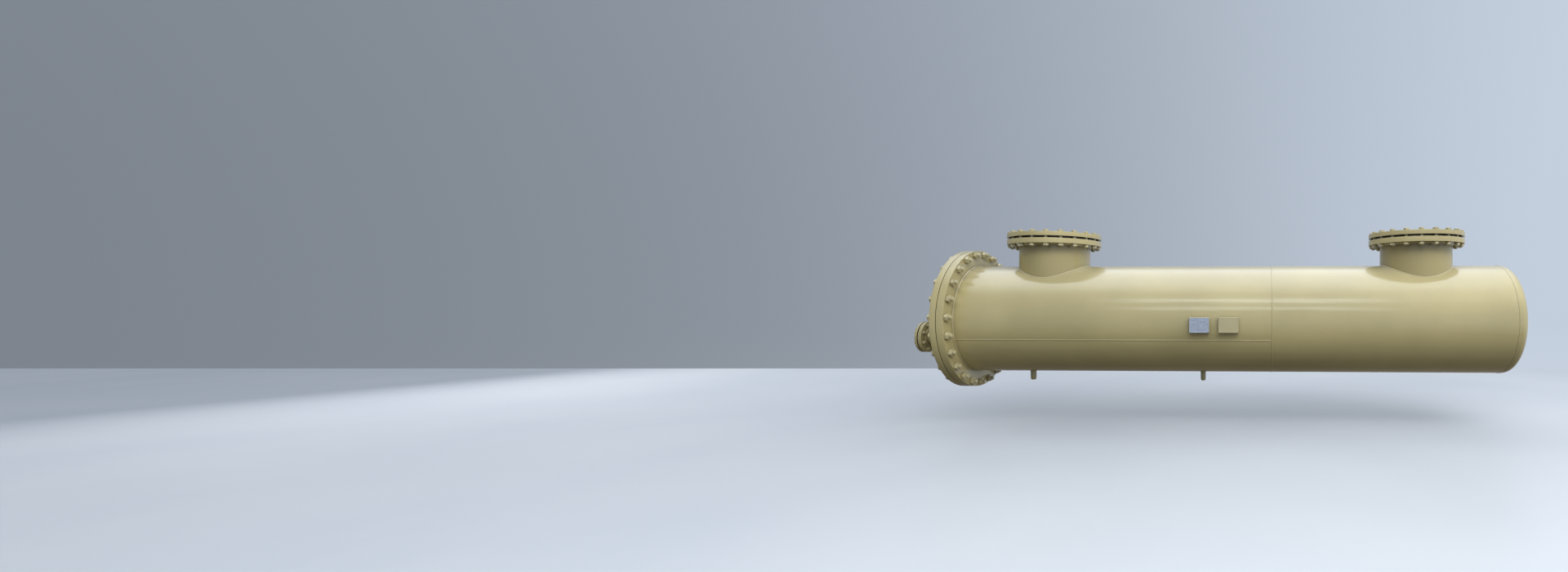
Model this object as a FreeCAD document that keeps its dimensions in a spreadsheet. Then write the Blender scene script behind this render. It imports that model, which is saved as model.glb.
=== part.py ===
import FreeCAD, Part
import os
import Sketcher

# Shell and tube heat exchanger: a horizontal shell of two rolled courses with a dished rear head,
# a bolted flat cover at the front with two small water nozzles, and two large gas nozzles on top,
# each closed by a blind flange.
#
# Frame: millimetres. The origin is the centre of the upper face of the inlet blind flange.
# +Z is up, +X runs along the shell from the cover towards the dished head.

doc = FreeCAD.newDocument("heat_exchanger")
vector = FreeCAD.Vector

# ---------------------------------------------------------------------------------------------
# Driving dimensions
# ---------------------------------------------------------------------------------------------

sheet = doc.addObject("Spreadsheet::Sheet", "Sizes")
next_row = 1


def size(alias, value, note=""):
    """Write one row of the sheet: a plain number or a formula, its alias and what it is."""
    global next_row
    sheet.set(f"A{next_row}", alias)
    sheet.set(f"B{next_row}", str(value))
    sheet.set(f"C{next_row}", note)
    sheet.setAlias(f"B{next_row}", alias)
    next_row += 1


# Fits
size("pipe_gap", 0.3, "radial clearance of a pipe in the plate it is welded into")

# Shell
size("shell_outer", 780, "outside diameter of the shell")
size("shell_wall", 10, "plate thickness of both courses")
size("front_course_length", 2224, "from the front end of the shell to the middle seam")
size("rear_course_length", 1626, "from the middle seam to the head seam")
size("root_gap", 0.3, "gap between two butted edges, closed by the weld")

# Dished head
size("crown_radius", 880, "inside radius of the crown")
size("knuckle_radius", 47, "inside radius of the knuckle")
size("head_skirt", 15, "straight part of the head")
size("head_wall", 10, "plate thickness of the head")

# Shell flange, gasket and flat cover
size("girth_bolt_space", 85, "from the outside of the shell to the bolt centres")
size("girth_edge", 30, "from the bolt centres to the rim of the shell flange and of the cover")
size("girth_hole", 33, "bolt hole diameter")
size("girth_count", 24, "number of bolts")
size("girth_turn", 3, "angle of the first bolt above the horizontal, in degrees")
size("shell_flange_thick", 48, "thickness of the shell flange")
size("cover_thick", 42, "thickness of the flat cover")
size("girth_gasket_clear", 4.5, "from the edge of a bolt hole in to the rim of the gasket")
size("girth_gasket_thick", 4, "thickness of the gasket")
size("shell_setback", 5, "from the gasket face back to the end of the shell")

# Gas nozzles
size("inlet_inset", 613, "from the gasket face to the middle of the gas inlet")
size("outlet_inset", 568.3, "from the head seam back to the middle of the gas outlet")
size("gas_pipe_outer", 508, "outside diameter of the nozzle pipe")
size("gas_pipe_wall", 9, "wall of the nozzle pipe")
size("gas_standout", 148, "from the top of the shell to the underside of the nozzle flange")
size("gas_bolt_space", 56, "from the outside of the pipe to the bolt centres")
size("gas_edge", 25, "from the bolt centres to the rim of the flange and of the blind")
size("gas_hole", 26, "bolt hole diameter")
size("gas_count", 20, "number of bolts")
size("gas_flange_thick", 35, "thickness of the nozzle flange")
size("gas_blind_thick", 29, "thickness of the blind")
size("gas_face_inset", 25, "from the bolt centres in to the rim of the raised face")
size("gas_face_rise", 5.5, "height of the raised face")
size("gas_gasket_thick", 4, "thickness of the gasket")
size("gas_pipe_setback", 8, "from the raised face back to the end of the pipe")

# Water nozzles
size("water_offset_side", 195, "sideways distance from the shell axis to a water nozzle")
size("water_offset_height", 125, "height between the shell axis and a water nozzle")
size("water_pipe_outer", 114.3, "outside diameter of the nozzle pipe")
size("water_pipe_wall", 6.3, "wall of the nozzle pipe")
size("water_standout", 182, "from the cover to the back of the nozzle flange")
size("water_bolt_space", 32.85, "from the outside of the pipe to the bolt centres")
size("water_edge", 20, "from the bolt centres to the rim of the flange and of the blind")
size("water_hole", 18, "bolt hole diameter")
size("water_count", 8, "number of bolts")
size("water_flange_thick", 22, "thickness of the nozzle flange")
size("water_blind_thick", 16, "thickness of the blind")
size("water_face_inset", 11, "from the bolt centres in to the rim of the raised face")
size("water_face_rise", 3, "height of the raised face")
size("water_gasket_thick", 2, "thickness of the gasket")
size("water_pipe_setback", 5, "from the raised face back to the end of the pipe")
size("cover_pipe_setback", 4, "from the inner face of the cover back to the end of the pipe")

# Hexagon bolts: the heads lie on the cover and the blinds, the nuts behind the flanges
size("girth_bolt", 30, "bolt diameter")
size("girth_flats", 46, "head and nut, across the flats")
size("girth_head_height", 19, "height of the head")
size("girth_nut_height", 24, "height of the nut")
size("girth_bolt_end", 19, "bolt beyond its nut")
size("gas_bolt", 24, "bolt diameter")
size("gas_flats", 36, "head and nut, across the flats")
size("gas_head_height", 16, "height of the head")
size("gas_nut_height", 19, "height of the nut")
size("gas_bolt_end", 5, "bolt beyond its nut")
size("gas_seat", 46, "diameter of the machined seat under a head")
size("water_bolt", 16, "bolt diameter")
size("water_flats", 24, "head and nut, across the flats")
size("water_head_height", 10, "height of the head")
size("water_nut_height", 14, "height of the nut")
size("water_bolt_end", 5, "bolt beyond its nut")
size("water_seat", 32, "diameter of the machined seat under a head")
size("seat_depth", 1, "depth of a machined seat")

# Drains under the shell
size("front_drain_inset", 447, "from the gasket face to the front drain")
size("middle_drain_inset", 1727, "from the gasket face to the middle drain")
size("front_drain_outer", 42.4, "outside diameter of the front drain pipe")
size("middle_drain_outer", 38, "outside diameter of the middle drain pipe")
size("drain_bore", 26, "bore of both drain pipes")
size("drain_drop", 68, "from the bottom of the shell to the end of a drain pipe")
size("drain_taper_length", 16, "length of the tapered end")
size("drain_taper", 4, "narrowing of the radius at the tapered end")
size("drain_plug_thick", 14, "depth of the plug in the end of a drain pipe")
size("drain_plug_gap", 0.2, "radial clearance of the plug")

# Name plate holders on the side of the shell, both left without writing
size("front_plate_inset", 1741, "from the gasket face to the middle of the front holder")
size("plate_spacing", 195, "from the front holder to the rear holder")
size("plate_drop", 27, "from the shell axis down to the middle of a holder")
size("holder_width", 136, "width of a holder")
size("holder_height", 104, "height of a holder")
size("holder_standoff", 26, "from the shell to the face of a holder, at its middle")
size("holder_sheet", 4, "thickness of the sheet that the holder is folded from")
size("holder_corner", 6, "outer radius of the folded corners")
size("plate_margin", 2.5, "holder visible around its plate")
size("plate_thick", 1.5, "thickness of a plate")

# Worked out from the rows above
size("shell_radius", "=shell_outer / 2")
size("shell_bore", "=shell_outer / 2 - shell_wall", "inside radius of the shell")
size("girth_circle", "=shell_outer + 2 * girth_bolt_space", "bolt circle diameter")
size("girth_outer", "=girth_circle + 2 * girth_edge")
size("girth_gasket_outer", "=girth_circle - girth_hole - 2 * girth_gasket_clear")
size("gas_circle", "=gas_pipe_outer + 2 * gas_bolt_space", "bolt circle diameter")
size("gas_flange_outer", "=gas_circle + 2 * gas_edge")
size("gas_face_outer", "=gas_circle - 2 * gas_face_inset")
size("gas_flange_rise", "=shell_outer / 2 + gas_standout", "from the shell axis")
size("water_circle", "=water_pipe_outer + 2 * water_bolt_space", "bolt circle diameter")
size("water_flange_outer", "=water_circle + 2 * water_edge")
size("water_face_outer", "=water_circle - 2 * water_face_inset")
size("gas_gap", "=2 * gas_face_rise + gas_gasket_thick", "between the flange and its blind")
size("water_gap", "=2 * water_face_rise + water_gasket_thick")
size("axis_level", "=0 - gas_flange_rise - gas_flange_thick - gas_gap - gas_blind_thick",
     "height of the shell axis")
size("gasket_face", "=0 - inlet_inset", "X of the front face of the shell flange")
size("shell_start", "=gasket_face + shell_setback", "X of the front end of the shell")
size("middle_seam", "=shell_start + front_course_length", "X of the middle seam")
size("rear_course_start", "=middle_seam + root_gap")
size("head_seam", "=rear_course_start + rear_course_length", "X of the head seam")
size("head_start", "=head_seam + root_gap")
size("outlet_place", "=head_seam - outlet_inset", "X of the middle of the gas outlet")
size("cover_back", "=gasket_face - girth_gasket_thick", "X of the inner face of the cover")
size("cover_front", "=cover_back - cover_thick", "X of the outer face of the cover")
size("gas_flange_level", "=axis_level + gas_flange_rise")
size("gas_gasket_level", "=gas_flange_level + gas_flange_thick + gas_face_rise")
size("gas_blind_level", "=gas_flange_level + gas_flange_thick + gas_gap")
size("water_flange_back", "=cover_front - water_standout")
size("water_gasket_back", "=water_flange_back - water_flange_thick - water_face_rise")
size("water_blind_back", "=water_flange_back - water_flange_thick - water_gap")
size("front_drain_place", "=gasket_face + front_drain_inset")
size("middle_drain_place", "=gasket_face + middle_drain_inset")
size("shell_underside", "=axis_level - shell_radius")

doc.recompute()


def value(alias):
    """Read one size from the sheet."""
    return float(sheet.get(alias))


# ---------------------------------------------------------------------------------------------
# Helpers
# ---------------------------------------------------------------------------------------------

pieces = []


def new_body(name):
    """Start a body whose label is the name of its node."""
    body = doc.addObject("PartDesign::Body", "body_" + name)
    body.Label = name
    pieces.append(body)
    return body


def new_sketch(body, name, plane="XY_Plane", offset=None):
    """Put a sketch on one of the body's own origin planes, offset along the plane's normal."""
    sketch = body.newObject("Sketcher::SketchObject", name)
    support = [feature for feature in body.Origin.OriginFeatures if feature.Role == plane]
    sketch.AttachmentSupport = (support[0], [""])
    sketch.MapMode = "FlatFace"
    if offset:
        sketch.setExpression("AttachmentOffset.Base.z", offset)
    return sketch


def add_circle(sketch, diameter, across="0", up="0"):
    """Draw a circle whose diameter and centre are formulas over the sheet."""
    circle = sketch.addGeometry(Part.Circle(vector(0, 0, 0), vector(0, 0, 1), 10), False)
    bound = sketch.addConstraint(Sketcher.Constraint("Diameter", circle, 20))
    sketch.setExpression(f"Constraints[{bound}]", diameter)
    for kind, formula in (("DistanceX", across), ("DistanceY", up)):
        bound = sketch.addConstraint(Sketcher.Constraint(kind, -1, 1, circle, 3, 0.0))
        if formula != "0":
            sketch.setExpression(f"Constraints[{bound}]", formula)
    return circle


def pad(body, sketch, length):
    """Pad a sketch along its plane's normal."""
    feature = body.newObject("PartDesign::Pad", sketch.Name + "_pad")
    feature.Profile = sketch
    feature.setExpression("Length", length)
    body.Tip = feature
    doc.recompute()
    return feature


def pocket(body, sketch, reverse=False, both_ways=False, depth=None):
    """Pocket a sketch, right through unless a depth is given, and make sure that it cut."""
    before = body.Shape.Volume
    feature = body.newObject("PartDesign::Pocket", sketch.Name + "_pocket")
    feature.Profile = sketch
    if depth:
        feature.setExpression("Length", depth)
    else:
        feature.Type = "ThroughAll"
    feature.Midplane = both_ways
    feature.Reversed = reverse
    body.Tip = feature
    doc.recompute()
    if body.Shape.Volume > before - 1.0:
        raise RuntimeError(body.Label + ": " + sketch.Name + " cut nothing")
    return feature


def ring_of_cuts(body, family, diameter, turn, level=None, depth=None):
    """Cut one round hole at a bolt's place and repeat it around the plate's axis.

    With no depth the hole goes right through; with one it starts at the given level.
    """
    role = "seat" if depth else "hole"
    hole = new_sketch(body, f"{body.Label}_{role}", "XY_Plane", level)
    add_circle(hole, diameter,
               f"Sizes.{family}_circle / 2 * cos({turn})",
               f"Sizes.{family}_circle / 2 * sin({turn})")
    first = pocket(body, hole, both_ways=not depth, depth=depth)
    pattern = body.newObject("PartDesign::PolarPattern", f"{body.Label}_{role}s")
    pattern.Originals = [first]
    pattern.Axis = (hole, ["N_Axis"])
    pattern.Angle = 360
    pattern.setExpression("Occurrences", f"Sizes.{family}_count")
    body.Tip = pattern
    doc.recompute()


def place(piece, x="0", y="0", z="0", turn=None):
    """Bind a sub-part's place to the sheet; turn is (axis, degrees)."""
    if turn:
        piece.Placement.Rotation = FreeCAD.Rotation(turn[0], turn[1])
    for letter, formula in (("x", x), ("y", y), ("z", z)):
        if formula != "0":
            piece.setExpression(f"Placement.Base.{letter}", formula)


# The plates of a water nozzle and of the cover are drawn flat and then turned, so that what is
# +Z in their sketches points towards -X, away from the shell.
FACING_FRONT = (vector(0, 1, 0), -90)

# ---------------------------------------------------------------------------------------------
# Shell
# ---------------------------------------------------------------------------------------------


def shell_course(name, start, length, openings):
    """A rolled course: a pipe along X with round openings, each (X, diameter, upwards)."""
    body = new_body(name)
    wall = new_sketch(body, name + "_wall", "YZ_Plane", start)
    add_circle(wall, "Sizes.shell_outer")
    add_circle(wall, "Sizes.shell_bore * 2")
    pad(body, wall, length)
    for number, (place_x, diameter, upwards) in enumerate(openings):
        opening = new_sketch(body, f"{name}_opening_{number}", "XY_Plane")
        add_circle(opening, diameter, place_x)
        pocket(body, opening, reverse=upwards)
    place(body, z="Sizes.axis_level")
    return body


gas_opening = "Sizes.gas_pipe_outer + 2 * Sizes.pipe_gap"
shell_course("shell_front_course", "Sizes.shell_start", "Sizes.front_course_length", [
    ("0 mm", gas_opening, True),
    ("Sizes.front_drain_place", "Sizes.front_drain_outer + 2 * Sizes.pipe_gap", False),
    ("Sizes.middle_drain_place", "Sizes.middle_drain_outer + 2 * Sizes.pipe_gap", False),
])
shell_course("shell_rear_course", "Sizes.rear_course_start", "Sizes.rear_course_length", [
    ("Sizes.outlet_place", gas_opening, True),
])


def rear_head():
    """A dished head: skirt, knuckle and crown as one revolved wall of even thickness."""
    bore = value("shell_bore")
    crown = value("crown_radius")
    knuckle = value("knuckle_radius")
    wall = value("head_wall")
    skirt = value("head_skirt")
    # The knuckle's centre lies one knuckle radius inside the skirt; the crown's centre lies on
    # the axis, so far back that the two arcs touch.
    knuckle_height = bore - knuckle
    crown_back = (crown - knuckle) ** 2 - knuckle_height ** 2
    crown_centre = skirt - crown_back ** 0.5
    crown_turn = FreeCAD.Vector(skirt - crown_centre, knuckle_height, 0).normalize()

    def outline(extra):
        """Skirt, knuckle arc and crown arc, moved outwards by extra."""
        skirt_end = vector(skirt, bore + extra, 0)
        knuckle_centre = vector(skirt, knuckle_height, 0)
        join = knuckle_centre + crown_turn * (knuckle + extra)
        bisector = (vector(0, 1, 0) + crown_turn).normalize()
        knuckle_middle = knuckle_centre + bisector * (knuckle + extra)
        apex = vector(crown_centre + crown + extra, 0, 0)
        half = (vector(1, 0, 0) + crown_turn).normalize()
        crown_middle = vector(crown_centre, 0, 0) + half * (crown + extra)
        return [
            Part.makeLine(vector(0, bore + extra, 0), skirt_end),
            Part.Arc(skirt_end, knuckle_middle, join).toShape(),
            Part.Arc(join, crown_middle, apex).toShape(),
        ]

    inner = outline(0.0)
    outer = outline(wall)
    apex_line = Part.makeLine(inner[2].lastVertex().Point, outer[2].lastVertex().Point)
    rim_line = Part.makeLine(vector(0, bore, 0), vector(0, bore + wall, 0))
    section = Part.Face(Part.Wire(Part.__sortEdges__(inner + outer + [apex_line, rim_line])))
    head = doc.addObject("Part::Feature", "rear_head")
    head.Label = "rear_head"
    head.Shape = section.revolve(vector(0, 0, 0), vector(1, 0, 0), 360)
    place(head, x="Sizes.head_start", z="Sizes.axis_level")
    pieces.append(head)


rear_head()

# ---------------------------------------------------------------------------------------------
# Shell flange, gasket and flat cover
# ---------------------------------------------------------------------------------------------


def plate(name, outer, thick, bores=()):
    """A round plate with its back on the sketch plane; bores are (diameter, across, up)."""
    body = new_body(name)
    outline = new_sketch(body, name + "_outline")
    add_circle(outline, outer)
    for diameter, across, up in bores:
        add_circle(outline, diameter, across, up)
    pad(body, outline, thick)
    return body


# Seen from the front, a turned plate's sketch has +X upwards in the room and +Y sideways.
water_places = (("inlet", "-1", "-1"), ("outlet", "1", "1"))
water_bore = "Sizes.water_pipe_outer + 2 * Sizes.pipe_gap"
cover_bores = [(water_bore, f"{up} * Sizes.water_offset_height", f"{side} * Sizes.water_offset_side")
               for name, side, up in water_places]

girth_turn = "90 deg - Sizes.girth_turn * 1 deg"
shell_flange = plate("shell_flange", "Sizes.girth_outer", "Sizes.shell_flange_thick",
                     [("Sizes.shell_outer + 2 * Sizes.pipe_gap", "0", "0")])
ring_of_cuts(shell_flange, "girth", "Sizes.girth_hole", girth_turn)
place(shell_flange, "Sizes.gasket_face + Sizes.shell_flange_thick", z="Sizes.axis_level",
      turn=FACING_FRONT)

girth_gasket = plate("cover_gasket", "Sizes.girth_gasket_outer", "Sizes.girth_gasket_thick",
                     [("Sizes.shell_bore * 2", "0", "0")])
place(girth_gasket, "Sizes.gasket_face", z="Sizes.axis_level", turn=FACING_FRONT)

front_cover = plate("front_cover", "Sizes.girth_outer", "Sizes.cover_thick", cover_bores)
ring_of_cuts(front_cover, "girth", "Sizes.girth_hole", girth_turn)
place(front_cover, "Sizes.cover_back", z="Sizes.axis_level", turn=FACING_FRONT)

# ---------------------------------------------------------------------------------------------
# Nozzles: pipe, flange with raised face, gasket and blind flange
# ---------------------------------------------------------------------------------------------


def raised_face_plate(name, family, thick, bore, face_on_top):
    """A bolted plate with a raised face; bore is the diameter of its hole, or None for a blind."""
    body = plate(name, f"Sizes.{family}_flange_outer", thick)
    level = thick if face_on_top else f"0 - Sizes.{family}_face_rise"
    face = new_sketch(body, name + "_face", "XY_Plane", level)
    add_circle(face, f"Sizes.{family}_face_outer")
    pad(body, face, f"Sizes.{family}_face_rise")
    if bore:
        hole = new_sketch(body, name + "_bore")
        add_circle(hole, bore)
        pocket(body, hole, both_ways=True)
    straddle = f"180 deg / Sizes.{family}_count"
    ring_of_cuts(body, family, f"Sizes.{family}_hole", straddle)
    if not bore:
        ring_of_cuts(body, family, f"Sizes.{family}_seat", straddle, thick, "Sizes.seat_depth")
    return body


def gas_nozzle(side, place_x):
    """An upright nozzle on the shell, with its pipe set through the shell and cut flush."""
    pipe = new_body(f"gas_{side}_pipe")
    wall = new_sketch(pipe, f"gas_{side}_wall")
    add_circle(wall, "Sizes.gas_pipe_outer")
    add_circle(wall, "Sizes.gas_pipe_outer - 2 * Sizes.gas_pipe_wall")
    reach = "Sizes.gas_flange_rise + Sizes.gas_flange_thick + Sizes.gas_face_rise"
    pad(pipe, wall, f"{reach} - Sizes.gas_pipe_setback")
    flush = new_sketch(pipe, f"gas_{side}_flush", "YZ_Plane")
    add_circle(flush, "Sizes.shell_bore * 2")
    pocket(pipe, flush, both_ways=True)
    place(pipe, place_x, z="Sizes.axis_level")

    flange = raised_face_plate(f"gas_{side}_flange", "gas", "Sizes.gas_flange_thick",
                               gas_opening, True)
    place(flange, place_x, z="Sizes.gas_flange_level")

    gasket = plate(f"gas_{side}_gasket", "Sizes.gas_face_outer", "Sizes.gas_gasket_thick",
                   [("Sizes.gas_pipe_outer", "0", "0")])
    place(gasket, place_x, z="Sizes.gas_gasket_level")

    blind = raised_face_plate(f"gas_{side}_blind", "gas", "Sizes.gas_blind_thick", None, False)
    place(blind, place_x, z="Sizes.gas_blind_level")


gas_nozzle("inlet", "0")
gas_nozzle("outlet", "Sizes.outlet_place")


def water_nozzle(side, place_y, place_z):
    """A nozzle that stands out of the flat cover, towards -X."""
    pipe = new_body(f"water_{side}_pipe")
    start = "0 - Sizes.cover_thick + Sizes.cover_pipe_setback"
    wall = new_sketch(pipe, f"water_{side}_wall", "XY_Plane", start)
    add_circle(wall, "Sizes.water_pipe_outer")
    add_circle(wall, "Sizes.water_pipe_outer - 2 * Sizes.water_pipe_wall")
    beyond = "Sizes.water_flange_thick + Sizes.water_face_rise - Sizes.water_pipe_setback"
    inside = "Sizes.cover_thick - Sizes.cover_pipe_setback"
    pad(pipe, wall, f"{inside} + Sizes.water_standout + {beyond}")
    place(pipe, "Sizes.cover_front", place_y, place_z, FACING_FRONT)

    flange = raised_face_plate(f"water_{side}_flange", "water", "Sizes.water_flange_thick",
                               water_bore, True)
    place(flange, "Sizes.water_flange_back", place_y, place_z, FACING_FRONT)

    gasket = plate(f"water_{side}_gasket", "Sizes.water_face_outer", "Sizes.water_gasket_thick",
                   [("Sizes.water_pipe_outer", "0", "0")])
    place(gasket, "Sizes.water_gasket_back", place_y, place_z, FACING_FRONT)

    blind = raised_face_plate(f"water_{side}_blind", "water", "Sizes.water_blind_thick",
                              None, False)
    place(blind, "Sizes.water_blind_back", place_y, place_z, FACING_FRONT)


for name, side, up in water_places:
    water_nozzle(name, f"{side} * Sizes.water_offset_side",
                 f"Sizes.axis_level + {up} * Sizes.water_offset_height")

# ---------------------------------------------------------------------------------------------
# Bolts: one node for each bolted joint, holding its separate bolts with their nuts
# ---------------------------------------------------------------------------------------------


def hexagon(flats, level, height):
    """A hexagon prism around the Z axis."""
    corner = vector(flats / 3 ** 0.5, 0, level)
    corners = [FreeCAD.Rotation(vector(0, 0, 1), 60 * number).multVec(corner)
               for number in range(6)]
    return Part.Face(Part.makePolygon(corners + [corners[0]])).extrude(vector(0, 0, height))


def bolt_set(name, family, grip, turn, x="0", y="0", z="0", facing=None):
    """Bolts through a joint, drawn upright from its lower face, with the heads above."""
    flats = value(family + "_flats")
    head_height = value(family + "_head_height")
    nut_height = value(family + "_nut_height")
    lower_end = nut_height + value(family + "_bolt_end")
    count = int(value(family + "_count"))
    bolts = []
    for number in range(count):
        bolt = Part.makeCylinder(value(family + "_bolt") / 2, lower_end + grip,
                                 vector(0, 0, 0 - lower_end))
        bolt = bolt.fuse([hexagon(flats, grip, head_height),
                          hexagon(flats, 0 - nut_height, nut_height)])
        bolt.translate(vector(value(family + "_circle") / 2, 0, 0))
        bolt.rotate(vector(0, 0, 0), vector(0, 0, 1), turn + 360 / count * number)
        bolts.append(bolt)
    feature = doc.addObject("Part::Feature", name)
    feature.Label = name
    feature.Shape = Part.makeCompound(bolts)
    place(feature, x, y, z, facing)
    pieces.append(feature)


girth_grip = value("shell_flange_thick") + value("girth_gasket_thick") + value("cover_thick")
bolt_set("cover_bolts", "girth", girth_grip, 90 - value("girth_turn"),
         "Sizes.gasket_face + Sizes.shell_flange_thick", z="Sizes.axis_level", facing=FACING_FRONT)


def nozzle_grip(family):
    """From the back of a nozzle flange to the seats of its blind."""
    plates = value(family + "_flange_thick") + value(family + "_blind_thick")
    return plates + value(family + "_gap") - value("seat_depth")


for side, place_x in (("inlet", "0"), ("outlet", "Sizes.outlet_place")):
    bolt_set(f"gas_{side}_bolts", "gas", nozzle_grip("gas"), 180 / value("gas_count"),
             place_x, z="Sizes.gas_flange_level")

for name, side, up in water_places:
    bolt_set(f"water_{name}_bolts", "water", nozzle_grip("water"), 180 / value("water_count"),
             "Sizes.water_flange_back", f"{side} * Sizes.water_offset_side",
             f"Sizes.axis_level + {up} * Sizes.water_offset_height", FACING_FRONT)

# ---------------------------------------------------------------------------------------------
# Drains: a short pipe set into the shell, its end tapered and plugged
# ---------------------------------------------------------------------------------------------


def drain(name, place_x):
    """A drain pipe drawn as a revolved wall, and the plug in its end."""
    bore = value("drain_bore") / 2
    outer = value(name + "_drain_outer") / 2
    taper = value("drain_taper")
    taper_length = value("drain_taper_length")
    drop = value("drain_drop")
    # The upper end stands in the shell's wall, clear of the bore of the shell.
    upper = value("shell_wall")
    outline = [
        vector(bore, 0, 0 - drop),
        vector(outer - taper, 0, 0 - drop),
        vector(outer, 0, taper_length - drop),
        vector(outer, 0, upper),
        vector(bore, 0, upper),
    ]
    wall = Part.Face(Part.makePolygon(outline + [outline[0]]))
    pipe = doc.addObject("Part::Feature", name + "_drain")
    pipe.Label = name + "_drain"
    pipe.Shape = wall.revolve(vector(0, 0, 0), vector(0, 0, 1), 360)
    place(pipe, place_x, z="Sizes.shell_underside")
    pieces.append(pipe)

    plug = doc.addObject("Part::Cylinder", name + "_drain_plug")
    plug.Label = name + "_drain_plug"
    plug.setExpression("Radius", "Sizes.drain_bore / 2 - Sizes.drain_plug_gap")
    plug.setExpression("Height", "Sizes.drain_plug_thick")
    place(plug, place_x, z="Sizes.shell_underside - Sizes.drain_drop")
    pieces.append(plug)


for name in ("front", "middle"):
    drain(name, f"Sizes.{name}_drain_place")

# ---------------------------------------------------------------------------------------------
# Name plate holders: a folded tray whose rim meets the shell, with a blank plate on its face
# ---------------------------------------------------------------------------------------------


def plate_holder(name, place_x):
    """The tray is a rounded block, hollowed from behind and cut to the shell's curve."""
    width = value("holder_width")
    height = value("holder_height")
    sheet_thick = value("holder_sheet")
    corner = value("holder_corner")
    drop = value("plate_drop")
    shell = value("shell_radius")
    front = shell + value("holder_standoff")
    depth = front - shell * 0.9

    def block(around, within, radius, start, deep):
        """A block behind the holder's face, its four upright edges rounded."""
        box = Part.makeBox(around, deep, within, vector(0 - around / 2, start, 0 - within / 2))
        long_edges = [edge for edge in box.Edges
                      if abs(edge.tangentAt(edge.FirstParameter).y) > 0.9]
        return box.makeFillet(radius, long_edges)

    outer = block(width, height, corner, 0 - front, depth)
    inner = block(width - 2 * sheet_thick, height - 2 * sheet_thick, corner - sheet_thick,
                  sheet_thick - front, depth)
    tray = outer.cut(inner)
    tray.translate(vector(0, 0, 0 - drop))
    drum_radius = shell + value("pipe_gap")
    drum = Part.makeCylinder(drum_radius, 2 * width, vector(0 - width, 0, 0), vector(1, 0, 0))
    tray = tray.cut(drum)
    holder = doc.addObject("Part::Feature", name + "_plate_holder")
    holder.Label = name + "_plate_holder"
    holder.Shape = tray
    place(holder, place_x, z="Sizes.axis_level")
    pieces.append(holder)

    blank = doc.addObject("Part::Box", name + "_name_plate")
    blank.Label = name + "_name_plate"
    blank.setExpression("Length", "Sizes.holder_width - 2 * Sizes.plate_margin")
    blank.setExpression("Width", "Sizes.plate_thick")
    blank.setExpression("Height", "Sizes.holder_height - 2 * Sizes.plate_margin")
    place(blank, f"{place_x} - (Sizes.holder_width - 2 * Sizes.plate_margin) / 2",
          "0 - Sizes.shell_radius - Sizes.holder_standoff - Sizes.plate_thick",
          "Sizes.axis_level - Sizes.plate_drop - (Sizes.holder_height - 2 * Sizes.plate_margin) / 2")
    pieces.append(blank)


plate_holder("front", "Sizes.gasket_face + Sizes.front_plate_inset")
plate_holder("rear", "Sizes.gasket_face + Sizes.front_plate_inset + Sizes.plate_spacing")

# ---------------------------------------------------------------------------------------------
# Checks and files
# ---------------------------------------------------------------------------------------------

doc.recompute()
for item in doc.Objects:
    if "Invalid" in item.State or "Error" in item.State:
        raise RuntimeError(item.Label + " did not recompute")
for piece in pieces:
    if piece.Shape.isNull() or not piece.Shape.isValid() or not piece.Shape.Solids:
        raise RuntimeError(piece.Label + " has no valid solid")

os.makedirs("parts", exist_ok=True)
for piece in pieces:
    piece.Shape.exportStep(f"parts/{piece.Label}.step")
    box = piece.Shape.BoundBox
    print(f"{piece.Label:24s} solids {len(piece.Shape.Solids):3d}"
          f"  x {box.XMin:9.1f} {box.XMax:9.1f}  y {box.YMin:8.1f} {box.YMax:8.1f}"
          f"  z {box.ZMin:8.1f} {box.ZMax:8.1f}")
print(len(pieces), "sub-parts written")
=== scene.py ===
# %% [markdown]
# # A shell and tube heat exchanger in gloss paint
#
# The object is a horizontal pressure vessel. A rolled and welded shell carries two large gas
# nozzles on top, a dished head closes its rear, and a flat cover closes its front on a ring of
# heavy bolts. Two small water nozzles stand on the cover. Everything but the gaskets and one
# name plate wears the same beige gloss paint.
#
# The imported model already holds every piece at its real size. Its meshes are made of flat facets,
# though, and gloss paint shows each facet as a kink in its reflections. So every piece is worked
# out again here as a fine surface of the same size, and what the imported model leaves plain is
# added: weld beads, threads, chamfers, machined seats and the folds of the plate holders.

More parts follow.
